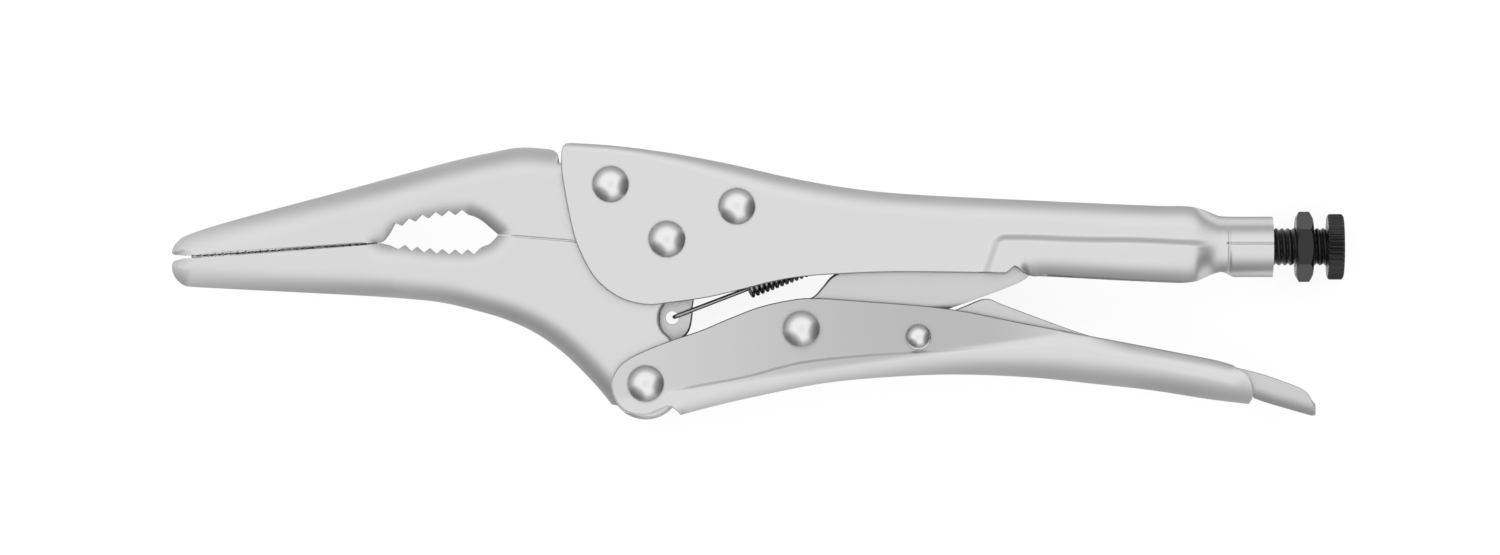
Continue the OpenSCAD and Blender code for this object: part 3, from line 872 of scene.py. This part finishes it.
def seam_face(side):
    """The nose's gripping face with its fine serrations, from the nose to the grip."""
    out = []
    x = NOSE_X + 3
    while x < -63.3:
        for dx, deep in ((-0.3, 0), (0, SERRATION_DEPTH), (0.3, 0)):
            out.append([x + dx, seam_y(x + dx, side) + side * deep])
        x += SERRATION_PITCH
    return np.array(out)


upper_grip_start = [GRIP_FRONT, -0.75]
upper_seam_start = [-104.9, seam_y(-104.9, 1) + 0.3]
grip_upper = np.vstack([
    [upper_grip_start, [-60.3, -0.2], [-59.2, 1.3]], grip_row(1),
    curve([grip_row(1)[-1], [-40.8, 4.65], [-39.3, 3.8], [-37.4, 2.2], [GRIP_REAR, 0.95]])[1:]])
upper_seam_front = np.vstack([[upper_seam_start], seam_face(1), [upper_grip_start]])
upper_seam_rear = np.array([[GRIP_REAR, seam_y(GRIP_REAR, 1)], [-19.8, seam_y(-20, 1)], [-8.5, -0.2]])
upper_hidden = np.vstack([
    arc(JAW_PIVOT, 7.3, 176, 16, 24), [[9, 2.2]], arc((16.8, 6.6), 4.2, -60, 60, 10),
    [[18, 10.8], [7, 13.4], [-6, 15.6], [-21, 16.2]]])
upper_corner = np.vstack([[[-21, 16.2], [-23.1, 16.4]], arc((-25.0, 17.4), 1.7, 10, 80, 6)])
upper_back = np.vstack([
    [upper_corner[-1]],
    curve([[-25.2, 19.2], [-31.3, 19.5], [-37.7, 18.4], [-47.3, 16.2], [-69.7, 10.1], [-92.1, 4.1],
           [-101.7, 1.1], [-104.4, -0.5], [-105.4, -1.9], [-105.6, -3.0], upper_seam_start], 14)])
grip_upper[-1] = upper_seam_rear[0]

plate("upper_jaw_forging", "body", "forged_nickel",
      [(split(upper_seam_front, EDGE_STEP), 0.5, 0.07),
       (split(grip_upper, 0.3), GRIP_ROUND, GRIP_CUT),
       (split(upper_seam_rear, EDGE_STEP), SEAM_ROUND, 0.04),
       (split(np.vstack([upper_seam_rear[-1:], upper_hidden]), 0.6), 0.5, 0.06),
       (split(upper_corner, 0.4), 1.6, 0.2),
       (split(upper_back, EDGE_STEP), 6.2, 0.6)],
      jaw_half, holes=[(FRONT_RIVET, RIVET_HOLE), (REAR_RIVET, RIVET_HOLE)], nodes=["upper_jaw"],
      guides={0: split([[-105.0, seam_y(-105, 1)], upper_grip_start], 0.6), 1: grip_guide(1)})

lower_grip_start = [GRIP_FRONT, -0.85]
lower_seam_start = [-105.0, seam_y(-105, -1) - 0.3]
grip_lower = np.vstack([
    [lower_grip_start, [-59.3, -1.3]], grip_row(-1),
    curve([grip_row(-1)[-1], [-39.6, -1.8], [-37.9, -1.1], [-36.8, -0.1], [GRIP_REAR, 0.85]])[1:]])
lower_seam_front = np.vstack([[lower_grip_start], seam_face(-1)[::-1], [lower_seam_start]])
lower_nose = curve([
    lower_seam_start, [-105.6, -5.4], [-105.5, -6.9], [-104.7, -8.5], [-103.0, -9.9],
    [-100.5, -10.25], [-92.1, -10.7], [-66.5, -12.0], [-53.7, -12.9], [-47.3, -13.7],
    [-40.9, -15.2], [-34.5, -17.1], [-28.1, -20.0], [-21.7, -24.6], [-15.3, -31.0],
    [-11.6, -35.5]
], 10)
lower_boss = arc(HANDLE_PIVOT, 7.66, 218, 355, 30)
lower_inner = np.vstack([
    [lower_boss[-1]],
    curve([[2.9, -28], [1.1, -21.8], [-0.9, -19.4], [-1.5, -16.9], [-0.6, -14.1], [3.2, -9.5]])])
lower_pivot = np.vstack([[lower_inner[-1]], arc(JAW_PIVOT, 7.0, -58, 176, 40)])
lower_seam_rear = np.array([lower_pivot[-1], [-8.6, -0.5], [-19.8, seam_y(-20, -1)],
                            [GRIP_REAR, seam_y(GRIP_REAR, -1)]])
grip_lower[-1] = lower_seam_rear[-1]

plate("lower_jaw_forging", "lower_jaw", "forged_nickel",
      [(split(lower_nose, EDGE_STEP), 5.6, 0.52),
       (split(lower_boss, EDGE_STEP), 1.2, 0.12),
       (split(lower_inner, 0.4), 1.0, 0.12),
       (split(lower_pivot, EDGE_STEP), 0.4, 0.06),
       (split(lower_seam_rear, EDGE_STEP), SEAM_ROUND, 0.04),
       (split(grip_lower[::-1], 0.3), GRIP_ROUND, GRIP_CUT),
       (split(lower_seam_front, EDGE_STEP), 0.5, 0.07)],
      jaw_half, holes=[(JAW_PIVOT, TURNING_HOLE), (HANDLE_PIVOT, TURNING_HOLE)],
      nodes=["lower_jaw"],
      guides={6: split([lower_grip_start, [-105.0, seam_y(-105, -1)]], 0.6), 5: grip_guide(-1)})

# A low ridge in the middle of the lower jaw's gripping face closes the line between the jaws.
ridge_x = np.linspace(-101.5, -61.8, 30)
ridge_line = np.vstack([pair(ridge_x, seam_y(ridge_x, -1) - 0.7),
                        pair(ridge_x, seam_y(ridge_x, 1) - 0.03)[::-1]])
plate("lower_jaw_grip_ridge", "lower_jaw", "forged_nickel",
      [(split(np.vstack([ridge_line, ridge_line[:1]]), 0.6), 0.1, 0.08)], level(0.9))

tongue_line = np.vstack([
    curve([[-3, -12], [4.9, -12], [5.5, -14.7], [5.1, -18.4], [4.0, -20.6], [1.1, -22.6], [-3, -24]]),
    [[-3, -12]]])
plate("lower_jaw_tongue", "lower_jaw", "link_nickel",
      [(split(tongue_line[::-1], 0.4), 0.45, 0.35)], level(1.2), holes=[(SPRING_START, 1.4)])


# ---------- Lower handle ----------

handle_low_line = curve([
    [-3, -39.1], [2.8, -37.5], [10.4, -35.5], [20, -33.3], [32.8, -30.8], [45.6, -29.5],
    [61, -28.85], [77.6, -29.5], [90.4, -30.8], [103, -32.2], [116, -34.2], [126, -35.4]
])


def handle_low(x):
    return np.interp(x, *handle_low_line.T)


def handle_fold(q):
    """Radius of the fold on the inner face."""
    return mix(3, 6.2, ease(q[:, 0], 20, 96))


def handle_band(q):
    """Radius of the fold on the outer face."""
    return mix(4.6, 7.4, ease(q[:, 0], 20, 96))


HANDLE_A, HANDLE_B = 2.85, 124.0
fold_x = np.append(np.arange(HANDLE_A, HANDLE_B - 0.3, 0.7), HANDLE_B)
handle_spine = pair(fold_x, handle_low(fold_x))
handle_end = curve([
    [HANDLE_B, handle_low(HANDLE_B)], [124.7, -33.7], [124.5, -31.2], [123.4, -29.0],
    [120.4, -26.8]
], 10)
handle_edge = curve([
    [120.4, -26.8], [116, -25.6], [103.2, -23.1], [77.8, -18.3], [59.5, -14.8], [40.1, -13.1],
    [31.2, -12.6], [26.4, -13.0], [20, -14.4], [13.6, -16.8], [7.2, -19.5], [0.9, -21.6],
    [-5.4, -24.1], [-9.0, -26.1], [-10.9, -28.2], [-11.8, -30.7], [-11.3, -33.5], [-9.7, -36.0],
    [-7.2, -37.2], [-4.4, -37.4], [-1.9, -36.5], [0.1, -35.7]
], 12)
handle_free = np.vstack([split(handle_end, 0.5), split(handle_edge, 0.7)[1:],
                         split([[0.1, -35.7], [0.9, -35.7], [2.0, -36.5], [2.7, -37.2],
                                [HANDLE_A, handle_low(HANDLE_A)]], 0.4)[1:]])
handle_top = handle_edge[handle_edge[:, 0] > 60]
TOP_ROUND, TOP_DROP = 4.4, 1.7
handle_outer = np.vstack([handle_spine[:-1], handle_free[:-1]])
hx, hy = handle_outer.T
h_step = np.arange(len(handle_outer))
n_spine = len(handle_spine) - 1
h_walled = h_step < n_spine


def halved(y, low, reach):
    """Heights spread over the upper half of a stretch that starts at low."""
    return low + reach - (low + reach - y) / 2


# The inner face's loop: moved in by the sheet's thickness along the fold, and near its ends.
rear_low = handle_low(HANDLE_B)
hy_in = np.where(h_walled | (h_step == n_spine), hy + SHEET_T, hy)
at_rear = (h_step > n_spine) & (hx > 115) & (hy < rear_low + 2 * SHEET_T)
hy_in = np.where(at_rear, halved(hy, rear_low, 2 * SHEET_T), hy_in)
NOTCH_X = 0.9
at_notch = (h_step > n_spine) & (hx > NOTCH_X) & (hx < 5) & (hy < -35)
share = np.clip((hx - NOTCH_X) / (HANDLE_A - NOTCH_X), 0, 1)
hy_in = np.where(at_notch, hy + SHEET_T * share, hy_in)
handle_inner = pair(hx, hy_in)


def channel_z(q, t, half_w, low_line, fold, steep=FOLD_DROP):
    """Height of a channel's side above its fold, t inside its outer face."""
    x, y = q.T
    rise = np.diff(low_line[:, 1]) / np.maximum(np.diff(low_line[:, 0]), 1e-6)
    slope = np.interp(x, low_line[:-1, 0], rise)
    deep = (y - np.interp(x, *low_line.T) - t) / np.hypot(1, slope)
    r = np.maximum(fold(q) - t, LEAST_FOLD)
    drop = steep * r
    return half_w - t - drop + drop * shoulder(deep / r)


PANEL_LINE = curve([
    [-14, -38.5], [-8, -36.6], [-0.7, -32.9], [8, -31.0], [16.9, -29.3], [28.8, -26.3],
    [43.1, -24.8], [58.3, -23.9], [67.3, -23.2], [79, -22.0], [87.8, -20.2], [94, -17.5],
    [130, -10]
])
PANEL_STEP = 0.55


def handle_panel(q):
    """1 on the flat panel of the handle's side, 0 on the band below it that stands out."""
    x, y = q.T
    width = mix(0.65, 1.6, ease(x, 60, 85))
    return ease((y - np.interp(x, *PANEL_LINE.T)) / width, -1, 1)


def handle_outer_z(q):
    x = q[:, 0]
    panel = handle_panel(q) * ease(x, -3, 6) * (1 - ease(x, 82, 94))
    steep = mix(0.3, 0.44, ease(x, 35, 75)) * ease(x, 0, 5)
    z = channel_z(q, 0, HALF_W, handle_low_line, handle_band, steep) - PANEL_STEP * panel
    turned_in = ease(x, 78, 100) * (1 - shoulder(distance(q, handle_top) / TOP_ROUND))
    z = z - TOP_DROP * turned_in
    return z - BEVEL * (1 - 0.7 * ease(x, 80, 95)) * (1 - round_off(distance(q, handle_free) / BEVEL))


def handle_inner_z(q):
    steep = FOLD_DROP * ease(q[:, 0], 0, 5)
    return channel_z(q, SHEET_T, HALF_W, handle_low_line, handle_fold, steep)


def handle_inner_fold(q):
    return np.maximum(handle_fold(q) - SHEET_T, LEAST_FOLD)


pressing(
    "lower_handle_pressing", "lower_handle", "satin_nickel", handle_outer, handle_inner, h_walled,
    handle_outer_z, handle_inner_z,
    edges=([(handle_spine, handle_band, 0), (handle_free, BEVEL, 0), (handle_top, TOP_ROUND, 0)],
           [(handle_inner[:n_spine + 1], handle_inner_fold, 0)]),
    holes=[(HANDLE_PIVOT, RIVET_HOLE), (LINK_PIVOT, RIVET_HOLE), (LEVER_PIVOT, LEVER_HOLE)], spacing=1.5,
    along=[(split(PANEL_LINE[PANEL_LINE[:, 0] < 96], 0.6), 1.2)], nodes=["lower_handle"])


# ---------- Toggle link ----------

LINK_HALF = 4.8

link_low = np.vstack([arc(LINK_PIVOT, 6.6, 150, 300, 24),
                      curve([[38, -23.1], [46, -20.2], [53.5, -17.1], [60.4, -14.75], [67.9, -12.1],
                             [75.2, -9.2], [77.6, -7.2], [79.6, -3.9]])])
link_top = np.vstack([link_low[-1:], arc(LINK_NOSE, 4, -10, 105, 14),
                      curve([[70, 1.2], [58, -2.4], [46, -4.9], [38.5, -6.3], [35.2, -7.9],
                             [33.2, -10.2], [31, -12.4], [27.2, -13.2]]),
                      link_low[:1]])
plate("toggle_link_plate", "toggle_link", "link_nickel",
      [(split(link_low, EDGE_STEP), 2.0, 0.08), (split(link_top, 0.6), 0.6, 0.08)],
      level(LINK_HALF), holes=[(LINK_PIVOT, TURNING_HOLE)], nodes=["toggle_link"])


# ---------- Release lever ----------

LEVER_A, LEVER_B, LEVER_T = 52.6, 137.6, 1.8
LEVER_HALF = 4.5
LEVER_BEVEL = 0.3

lever_low_line = np.vstack([
    curve([[50, -24.0], [60, -25.0], [77, -26.2], [90, -27.8], [103, -29.2], [116, -31.1],
           [124.4, -32.4]]),
    curve([[125.6, -34.1], [128.7, -35.15], [135.1, -37.0], [140, -38.4]])])

# The fold's rounding follows this smoother line over the step in the lower edge.
lever_fold_line = curve([
    [50, -24.0], [60, -25.0], [77, -26.2], [90, -27.8], [103, -29.2], [113, -30.9], [122, -33.2],
    [128.7, -35.15], [135.1, -37.0], [140, -38.4]
])
lever_fold = level(3.7)


def lever_low(x):
    return np.interp(x, *lever_low_line.T)


fold_x = np.concatenate([np.arange(LEVER_A, 124.2, 0.7), np.arange(124.4, LEVER_B - 0.2, 0.3),
                         [LEVER_B]])
lever_spine = pair(fold_x, lever_low(fold_x))
lever_end = curve([
    [LEVER_B, lever_low(LEVER_B)], [138.25, -37.45], [138.15, -36.3], [137.6, -34.8],
    [136.6, -33.0], [135.1, -31.8], [131.9, -30.5]
], 10)
lever_edge = np.vstack([
    curve([[131.9, -30.5], [125.5, -28.4], [116, -26.2], [103, -23.6], [90.4, -20.7], [77.5, -16.2],
           [71.1, -13.8], [67.9, -12.75], [63.4, -14.4], [58, -16.6]], 10),
    arc(LEVER_PIVOT, 3.2, 90, 250, 20)])
lever_free = np.vstack([split(lever_end, 0.4), split(lever_edge, 0.7)[1:],
                        [[LEVER_A, lever_low(LEVER_A)]]])
lever_outer = np.vstack([lever_spine[:-1], lever_free[:-1]])
lx, ly = lever_outer.T
l_step = np.arange(len(lever_outer))
n_lever = len(lever_spine) - 1
l_walled = l_step < n_lever
ly_in = np.where(l_walled | (l_step == n_lever), ly + LEVER_T, ly)
for near_end, low in ((lx > 130, lever_low(LEVER_B)), (lx < LEVER_A + 0.1, lever_low(LEVER_A))):
    zone = (l_step > n_lever) & near_end & (ly < low + 2 * LEVER_T)
    ly_in = np.where(zone, halved(ly, low, 2 * LEVER_T), ly_in)
lever_inner = pair(lx, ly_in)


def lever_outer_z(q):
    z = channel_z(q, 0, LEVER_HALF, lever_fold_line, lever_fold)
    return z - LEVER_BEVEL * (1 - round_off(distance(q, lever_free) / LEVER_BEVEL))


def lever_inner_z(q):
    return channel_z(q, LEVER_T, LEVER_HALF, lever_fold_line, lever_fold)


pressing(
    "release_lever_pressing", "release_lever", "link_nickel", lever_outer, lever_inner, l_walled,
    lever_outer_z, lever_inner_z,
    edges=([(lever_spine, lever_fold, 0), (lever_free, LEVER_BEVEL, 0)],
           [(lever_inner[:n_lever + 1], level(1.9), 0)]),
    holes=[(LEVER_PIVOT, 1.45)], spacing=1.7, nodes=["release_lever"])


# ---------- Rivets ----------

SEAT = 0.8
DOME_STEPS = 24
RIVET_STEPS = 72
BIG_RIVET = (7.9, 2.4, 2 * RIVET_HOLE)
SMALL_RIVET = (5.3, 1.8, 2 * LEVER_HOLE)


def dome_rows(d, h, side, flat_h=math.inf):
    """Rings of a domed head from its rim to its top, or to the flat that it is set down to."""
    wall = 0.3 * h
    dome = h - wall
    r = (d * d / 4 + dome * dome) / (2 * dome)
    rim = math.asin(d / 2 / r)
    rows = [(side * (HALF_W - SEAT), d / 2), (side * (HALF_W + wall), d / 2)]
    for k in range(1, DOME_STEPS + 1):
        a = rim * (1 - k / DOME_STEPS)
        up = r * math.cos(a) - (r - h)
        if up >= flat_h:
            wide = math.sqrt(max(r * r - (r - h + flat_h) ** 2, 0))
            return rows + [(side * (HALF_W + flat_h), wide), (side * (HALF_W + flat_h), 0)]
        rows.append((side * (HALF_W + up), r * math.sin(a)))
    return rows + [(side * (HALF_W + h), 0)]


def rivet(node, body, place, d, h, shank):
    """A shank with a domed head on the upper side and a flattened one on the lower side."""
    low = dome_rows(d, 1.25 * h, -1, flat_h=h)[::-1]
    high = dome_rows(d, h, 1)
    rows = low + [(SEAT - HALF_W, shank / 2), (HALF_W - SEAT, shank / 2)] + high
    rows = [(along, np.full(RIVET_STEPS, float(r))) for along, r in rows]
    turned(node + "_dome", body, "polished_rivet", "z", (*place, 0), rows, [node], 40)


for node, body, place, size in (
        ("upper_jaw_front_rivet", "body", FRONT_RIVET, BIG_RIVET),
        ("upper_jaw_rear_rivet", "body", REAR_RIVET, BIG_RIVET),
        ("jaw_pivot_rivet", "body", JAW_PIVOT, BIG_RIVET),
        ("handle_pivot_rivet", "lower_handle", HANDLE_PIVOT, BIG_RIVET),
        ("link_rivet", "lower_handle", LINK_PIVOT, BIG_RIVET),
        ("release_lever_rivet", "lower_handle", LEVER_PIVOT, SMALL_RIVET)):
    rivet(node, body, place, *size)


# ---------- Opening spring ----------

WIRE_R = 0.45
WIRE_STEPS = 12
COIL_R = 1.75
COIL_START, COIL_END = 17, 38
TURNS, TURN_STEPS = 19, 20
HOOK_BEND = 0.9
reach = math.dist(SPRING_END, SPRING_START)
along_dir = (np.array(SPRING_END) - SPRING_START) / reach
side_dir = np.array([-along_dir[1], along_dir[0]])


def hook_route(s, side):
    """A hook at distance s, from its tip up through a bend that runs on towards side."""
    route = [(s, 0, -COIL_R - 0.3), (s, 0, -0.6), (s, 0, COIL_R - HOOK_BEND)]
    for angle in (30, 60, 90):
        a = math.radians(angle)
        along = s + side * HOOK_BEND * (1 - math.cos(a))
        route.append((along, 0, COIL_R - HOOK_BEND + HOOK_BEND * math.sin(a)))
    return route


def spring_route():
    """Points of the wire as distance along, sideways and up, from hook to hook."""
    route = hook_route(0.5, 1) + [(s, 0, COIL_R) for s in (5, 10, 14, 16)]
    for k in range(TURNS * TURN_STEPS + 1):
        a = 2 * math.pi * k / TURN_STEPS
        along = mix(COIL_START, COIL_END, k / (TURNS * TURN_STEPS))
        route.append((along, COIL_R * math.sin(a), COIL_R * math.cos(a)))
    route += [(s, 0, COIL_R) for s in (39, 41, 44)]
    return np.array(route + hook_route(reach - 0.1, -1)[::-1])


def wire(name, slot, points, r, nodes):
    """A round wire along a line of points."""
    d = np.gradient(points, axis=0)
    d /= np.linalg.norm(d, axis=1)[:, None]
    side = np.array([*side_dir, 0.0])
    rings = []
    for p, t in zip(points, d):
        side = side - t * (side @ t)
        side /= np.linalg.norm(side)
        up = np.cross(t, side)
        a = np.linspace(0, 2 * math.pi, WIRE_STEPS, endpoint=False)[:, None]
        rings.append(p + r * (np.cos(a) * side + np.sin(a) * up))
    m, n = len(rings), WIRE_STEPS
    ends = [list(range(n))[::-1], [(m - 1) * n + i for i in range(n)]]
    mesh = new_mesh(name, np.vstack(rings), tube_quads(m, n).tolist() + ends)
    mesh.set_sharp_from_angle(angle=math.radians(50))
    return join_in(mesh, name, None, slot, *nodes)


route = spring_route()
seen_from_above = np.array(SPRING_START) + route[:, :1] * along_dir + route[:, 1:2] * side_dir
spring = wire("opening_spring_wire", "spring_steel",
              pair(seen_from_above, route[:, 2]), WIRE_R, ["opening_spring"])
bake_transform(spring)


# ---------- Adjusting screw, lock nut and knob ----------

NUT_X, NUT_T, NUT_AF = 134.1, 3.7, 13.0
KNOB_X, KNOB_T, KNOB_R = 140.9, 3.4, 7.0
RIBS, RIB_STEPS, RIB_DEPTH = 36, 8, 0.55
THREAD_PITCH, THREAD_DEPTH = 1.25, 0.42
SCREW_R = 4.0
THREAD_X = 116.2
TIP_X, TIP_R = 82.2, 2.7
BORE_GAP = 0.05


def thread_rows():
    """Rings of the screw, with a helical thread cut where it shows."""
    n = 64
    a = np.arange(n) / n
    rows = [(TIP_X, np.zeros(n)), (TIP_X, np.full(n, TIP_R)),
            (TIP_X + 1.2, np.full(n, SCREW_R)), (THREAD_X - 0.2, np.full(n, SCREW_R))]
    for x in np.arange(THREAD_X, KNOB_X + 0.3, THREAD_PITCH / 12):
        phase = (x / THREAD_PITCH - a) % 1
        groove = np.clip(1 - np.abs(phase - 0.5) / 0.4, 0, 1) * THREAD_DEPTH
        groove = groove * ease(x, THREAD_X, THREAD_X + 1) * (1 - ease(x, KNOB_X - 0.2, KNOB_X + 0.2))
        rows.append((x, SCREW_R - groove))
    rows += [(KNOB_X + KNOB_T - 0.5, np.full(n, SCREW_R)), (KNOB_X + KNOB_T, np.full(n, SCREW_R - 0.5)),
             (KNOB_X + KNOB_T, np.zeros(n))]
    return rows


turned("adjusting_screw_thread", "adjusting_screw", "black_oxide", "x", (0, SCREW_Y, 0), thread_rows(),
       ["adjusting_screw"], 60)


def nut_rows():
    """Rings of a hexagon with both faces chamfered, its corners up and down the pliers' width."""
    n = 96
    flat_r = NUT_AF / 2
    from_flat = np.arange(n) * 2 * math.pi / n % (math.pi / 3) - math.pi / 6
    hexagon = flat_r / np.cos(from_flat)
    bevel = np.clip((hexagon - flat_r * 0.985) * math.tan(math.radians(30)), 0, None) + 0.12
    bore = np.full(n, SCREW_R + BORE_GAP)
    mouth = np.full(n, SCREW_R + 0.45)
    face = np.full(n, flat_r * 0.955)
    a, b = NUT_X, NUT_X + NUT_T
    return [(a + 0.4, bore), (a, mouth), (a, face), (a + bevel, hexagon),
            (b - bevel, hexagon), (b, face), (b, mouth), (b - 0.4, bore), (a + 0.4, bore)]


turned("lock_nut_hexagon", "lock_nut", "black_oxide", "x", (0, SCREW_Y, 0), nut_rows(),
       ["lock_nut"], 24)


def knob_rows():
    """Rings of the knob, with straight ribs around its rim and a chamfer at both ends of them."""
    n = RIBS * RIB_STEPS
    wave = np.abs(((np.arange(n) / RIB_STEPS) % 1) - 0.5) * 2
    rib = np.clip(wave * 1.5 - 0.25, 0, 1)
    rim = KNOB_R - RIB_DEPTH * (1 - rib)
    low = np.minimum(rim, KNOB_R - 0.45)
    bore = np.full(n, SCREW_R + BORE_GAP)
    face = np.full(n, KNOB_R - 0.9)
    a, b = KNOB_X, KNOB_X + KNOB_T
    return [(a + 0.3, bore), (a, bore + 0.3), (a, face), (a, low), (a + 0.35, rim),
            (b - 0.35, rim), (b, low), (b, face), (b, bore + 0.3), (b - 0.3, bore), (a + 0.3, bore)]


turned("knurled_knob_ribs", "knurled_knob", "black_oxide", "x", (0, SCREW_Y, 0), knob_rows(),
       ["knurled_knob"], 24)


# ---------- Floor, light and camera ----------

VIEW_CENTRE = (17.7, -8.2)
VIEW_WIDTH = 320.25
LENS, SENSOR = 200, 36
FLOOR_HALF = 20
FLOOR_GLOW = 0.86

# Brightness of the surroundings from the horizon (0) to straight up (1), and of the darker
# patches that the metal reflects, by how closely a direction points at them.
SKY_STOPS = [(0.0, 0.17), (0.35, 0.38), (0.74, 0.80), (0.9, 0.83), (1.0, 0.74)]
SKY_PATCHES = (((-0.6, -0.7, 0.4), 0.4), ((0.95, -0.15, 0.4), 0.35))
SKY_STRENGTH = 1.38

floor_mesh = bpy.data.meshes.new("floor")
floor_corners = [(x * FLOOR_HALF, y * FLOOR_HALF, 0) for x, y in ((-1, -1), (1, -1), (1, 1), (-1, 1))]
floor_mesh.from_pydata(floor_corners, [], [(0, 1, 2, 3)])
floor = bpy.data.objects.new("floor", floor_mesh)
bpy.context.scene.collection.objects.link(floor)
floor_finish = bpy.data.materials.new("floor_white")
floor_finish.use_nodes = True
shade = floor_finish.node_tree.nodes["Principled BSDF"]
shade.inputs["Base Color"].default_value = (0.2, 0.2, 0.2, 1)
shade.inputs["Emission Color"].default_value = (1, 1, 1, 1)
shade.inputs["Emission Strength"].default_value = FLOOR_GLOW
shade.inputs["Roughness"].default_value = 0.9
floor_mesh.materials.append(floor_finish)
floor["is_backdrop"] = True

world = bpy.data.worlds.new("studio")
bpy.context.scene.world = world
world.use_nodes = True
sky = world.node_tree
around = add_node(sky, "TexCoord", {})["Generated"]


def sky_ramp(x, y, z, stops):
    """A grey level that eases from stop to stop as directions come closer to a given one."""
    length = math.hypot(x, y, z)
    closeness = add_node(sky, "VectorMath", {0: around, 1: (x / length, y / length, z / length)},
                         operation="DOT_PRODUCT")["Value"]
    node = sky.nodes.new("ShaderNodeValToRGB")
    node.color_ramp.interpolation = "EASE"
    sky.links.new(closeness, node.inputs["Fac"])
    elements = node.color_ramp.elements
    while len(elements) < len(stops):
        elements.new(0.5)
    for element, (at, grey) in zip(elements, stops):
        element.position = at
        element.color = (grey, grey, grey, 1)
    return node.outputs["Color"]


light = sky_ramp(0, 0, 1, SKY_STOPS)
for aim, grey in SKY_PATCHES:
    light = blend_colours(sky, 1.0, light, sky_ramp(*aim, [(0.72, 1.0), (0.97, grey)]), "MULTIPLY")
sky.links.new(light, sky.nodes["Background"].inputs["Color"])
sky.nodes["Background"].inputs["Strength"].default_value = SKY_STRENGTH

lens = bpy.data.cameras.new("camera")
lens.lens = LENS
lens.sensor_width = SENSOR
lens.clip_start, lens.clip_end = 0.05, 40
camera = bpy.data.objects.new("camera", lens)
bpy.context.scene.collection.objects.link(camera)
distance_up = MID_Z + VIEW_WIDTH * LENS / SENSOR
camera.location = (VIEW_CENTRE[0] * MM, VIEW_CENTRE[1] * MM, distance_up * MM)
bpy.context.scene.camera = camera
bpy.context.scene.view_settings.view_transform = "Standard"

low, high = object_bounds()
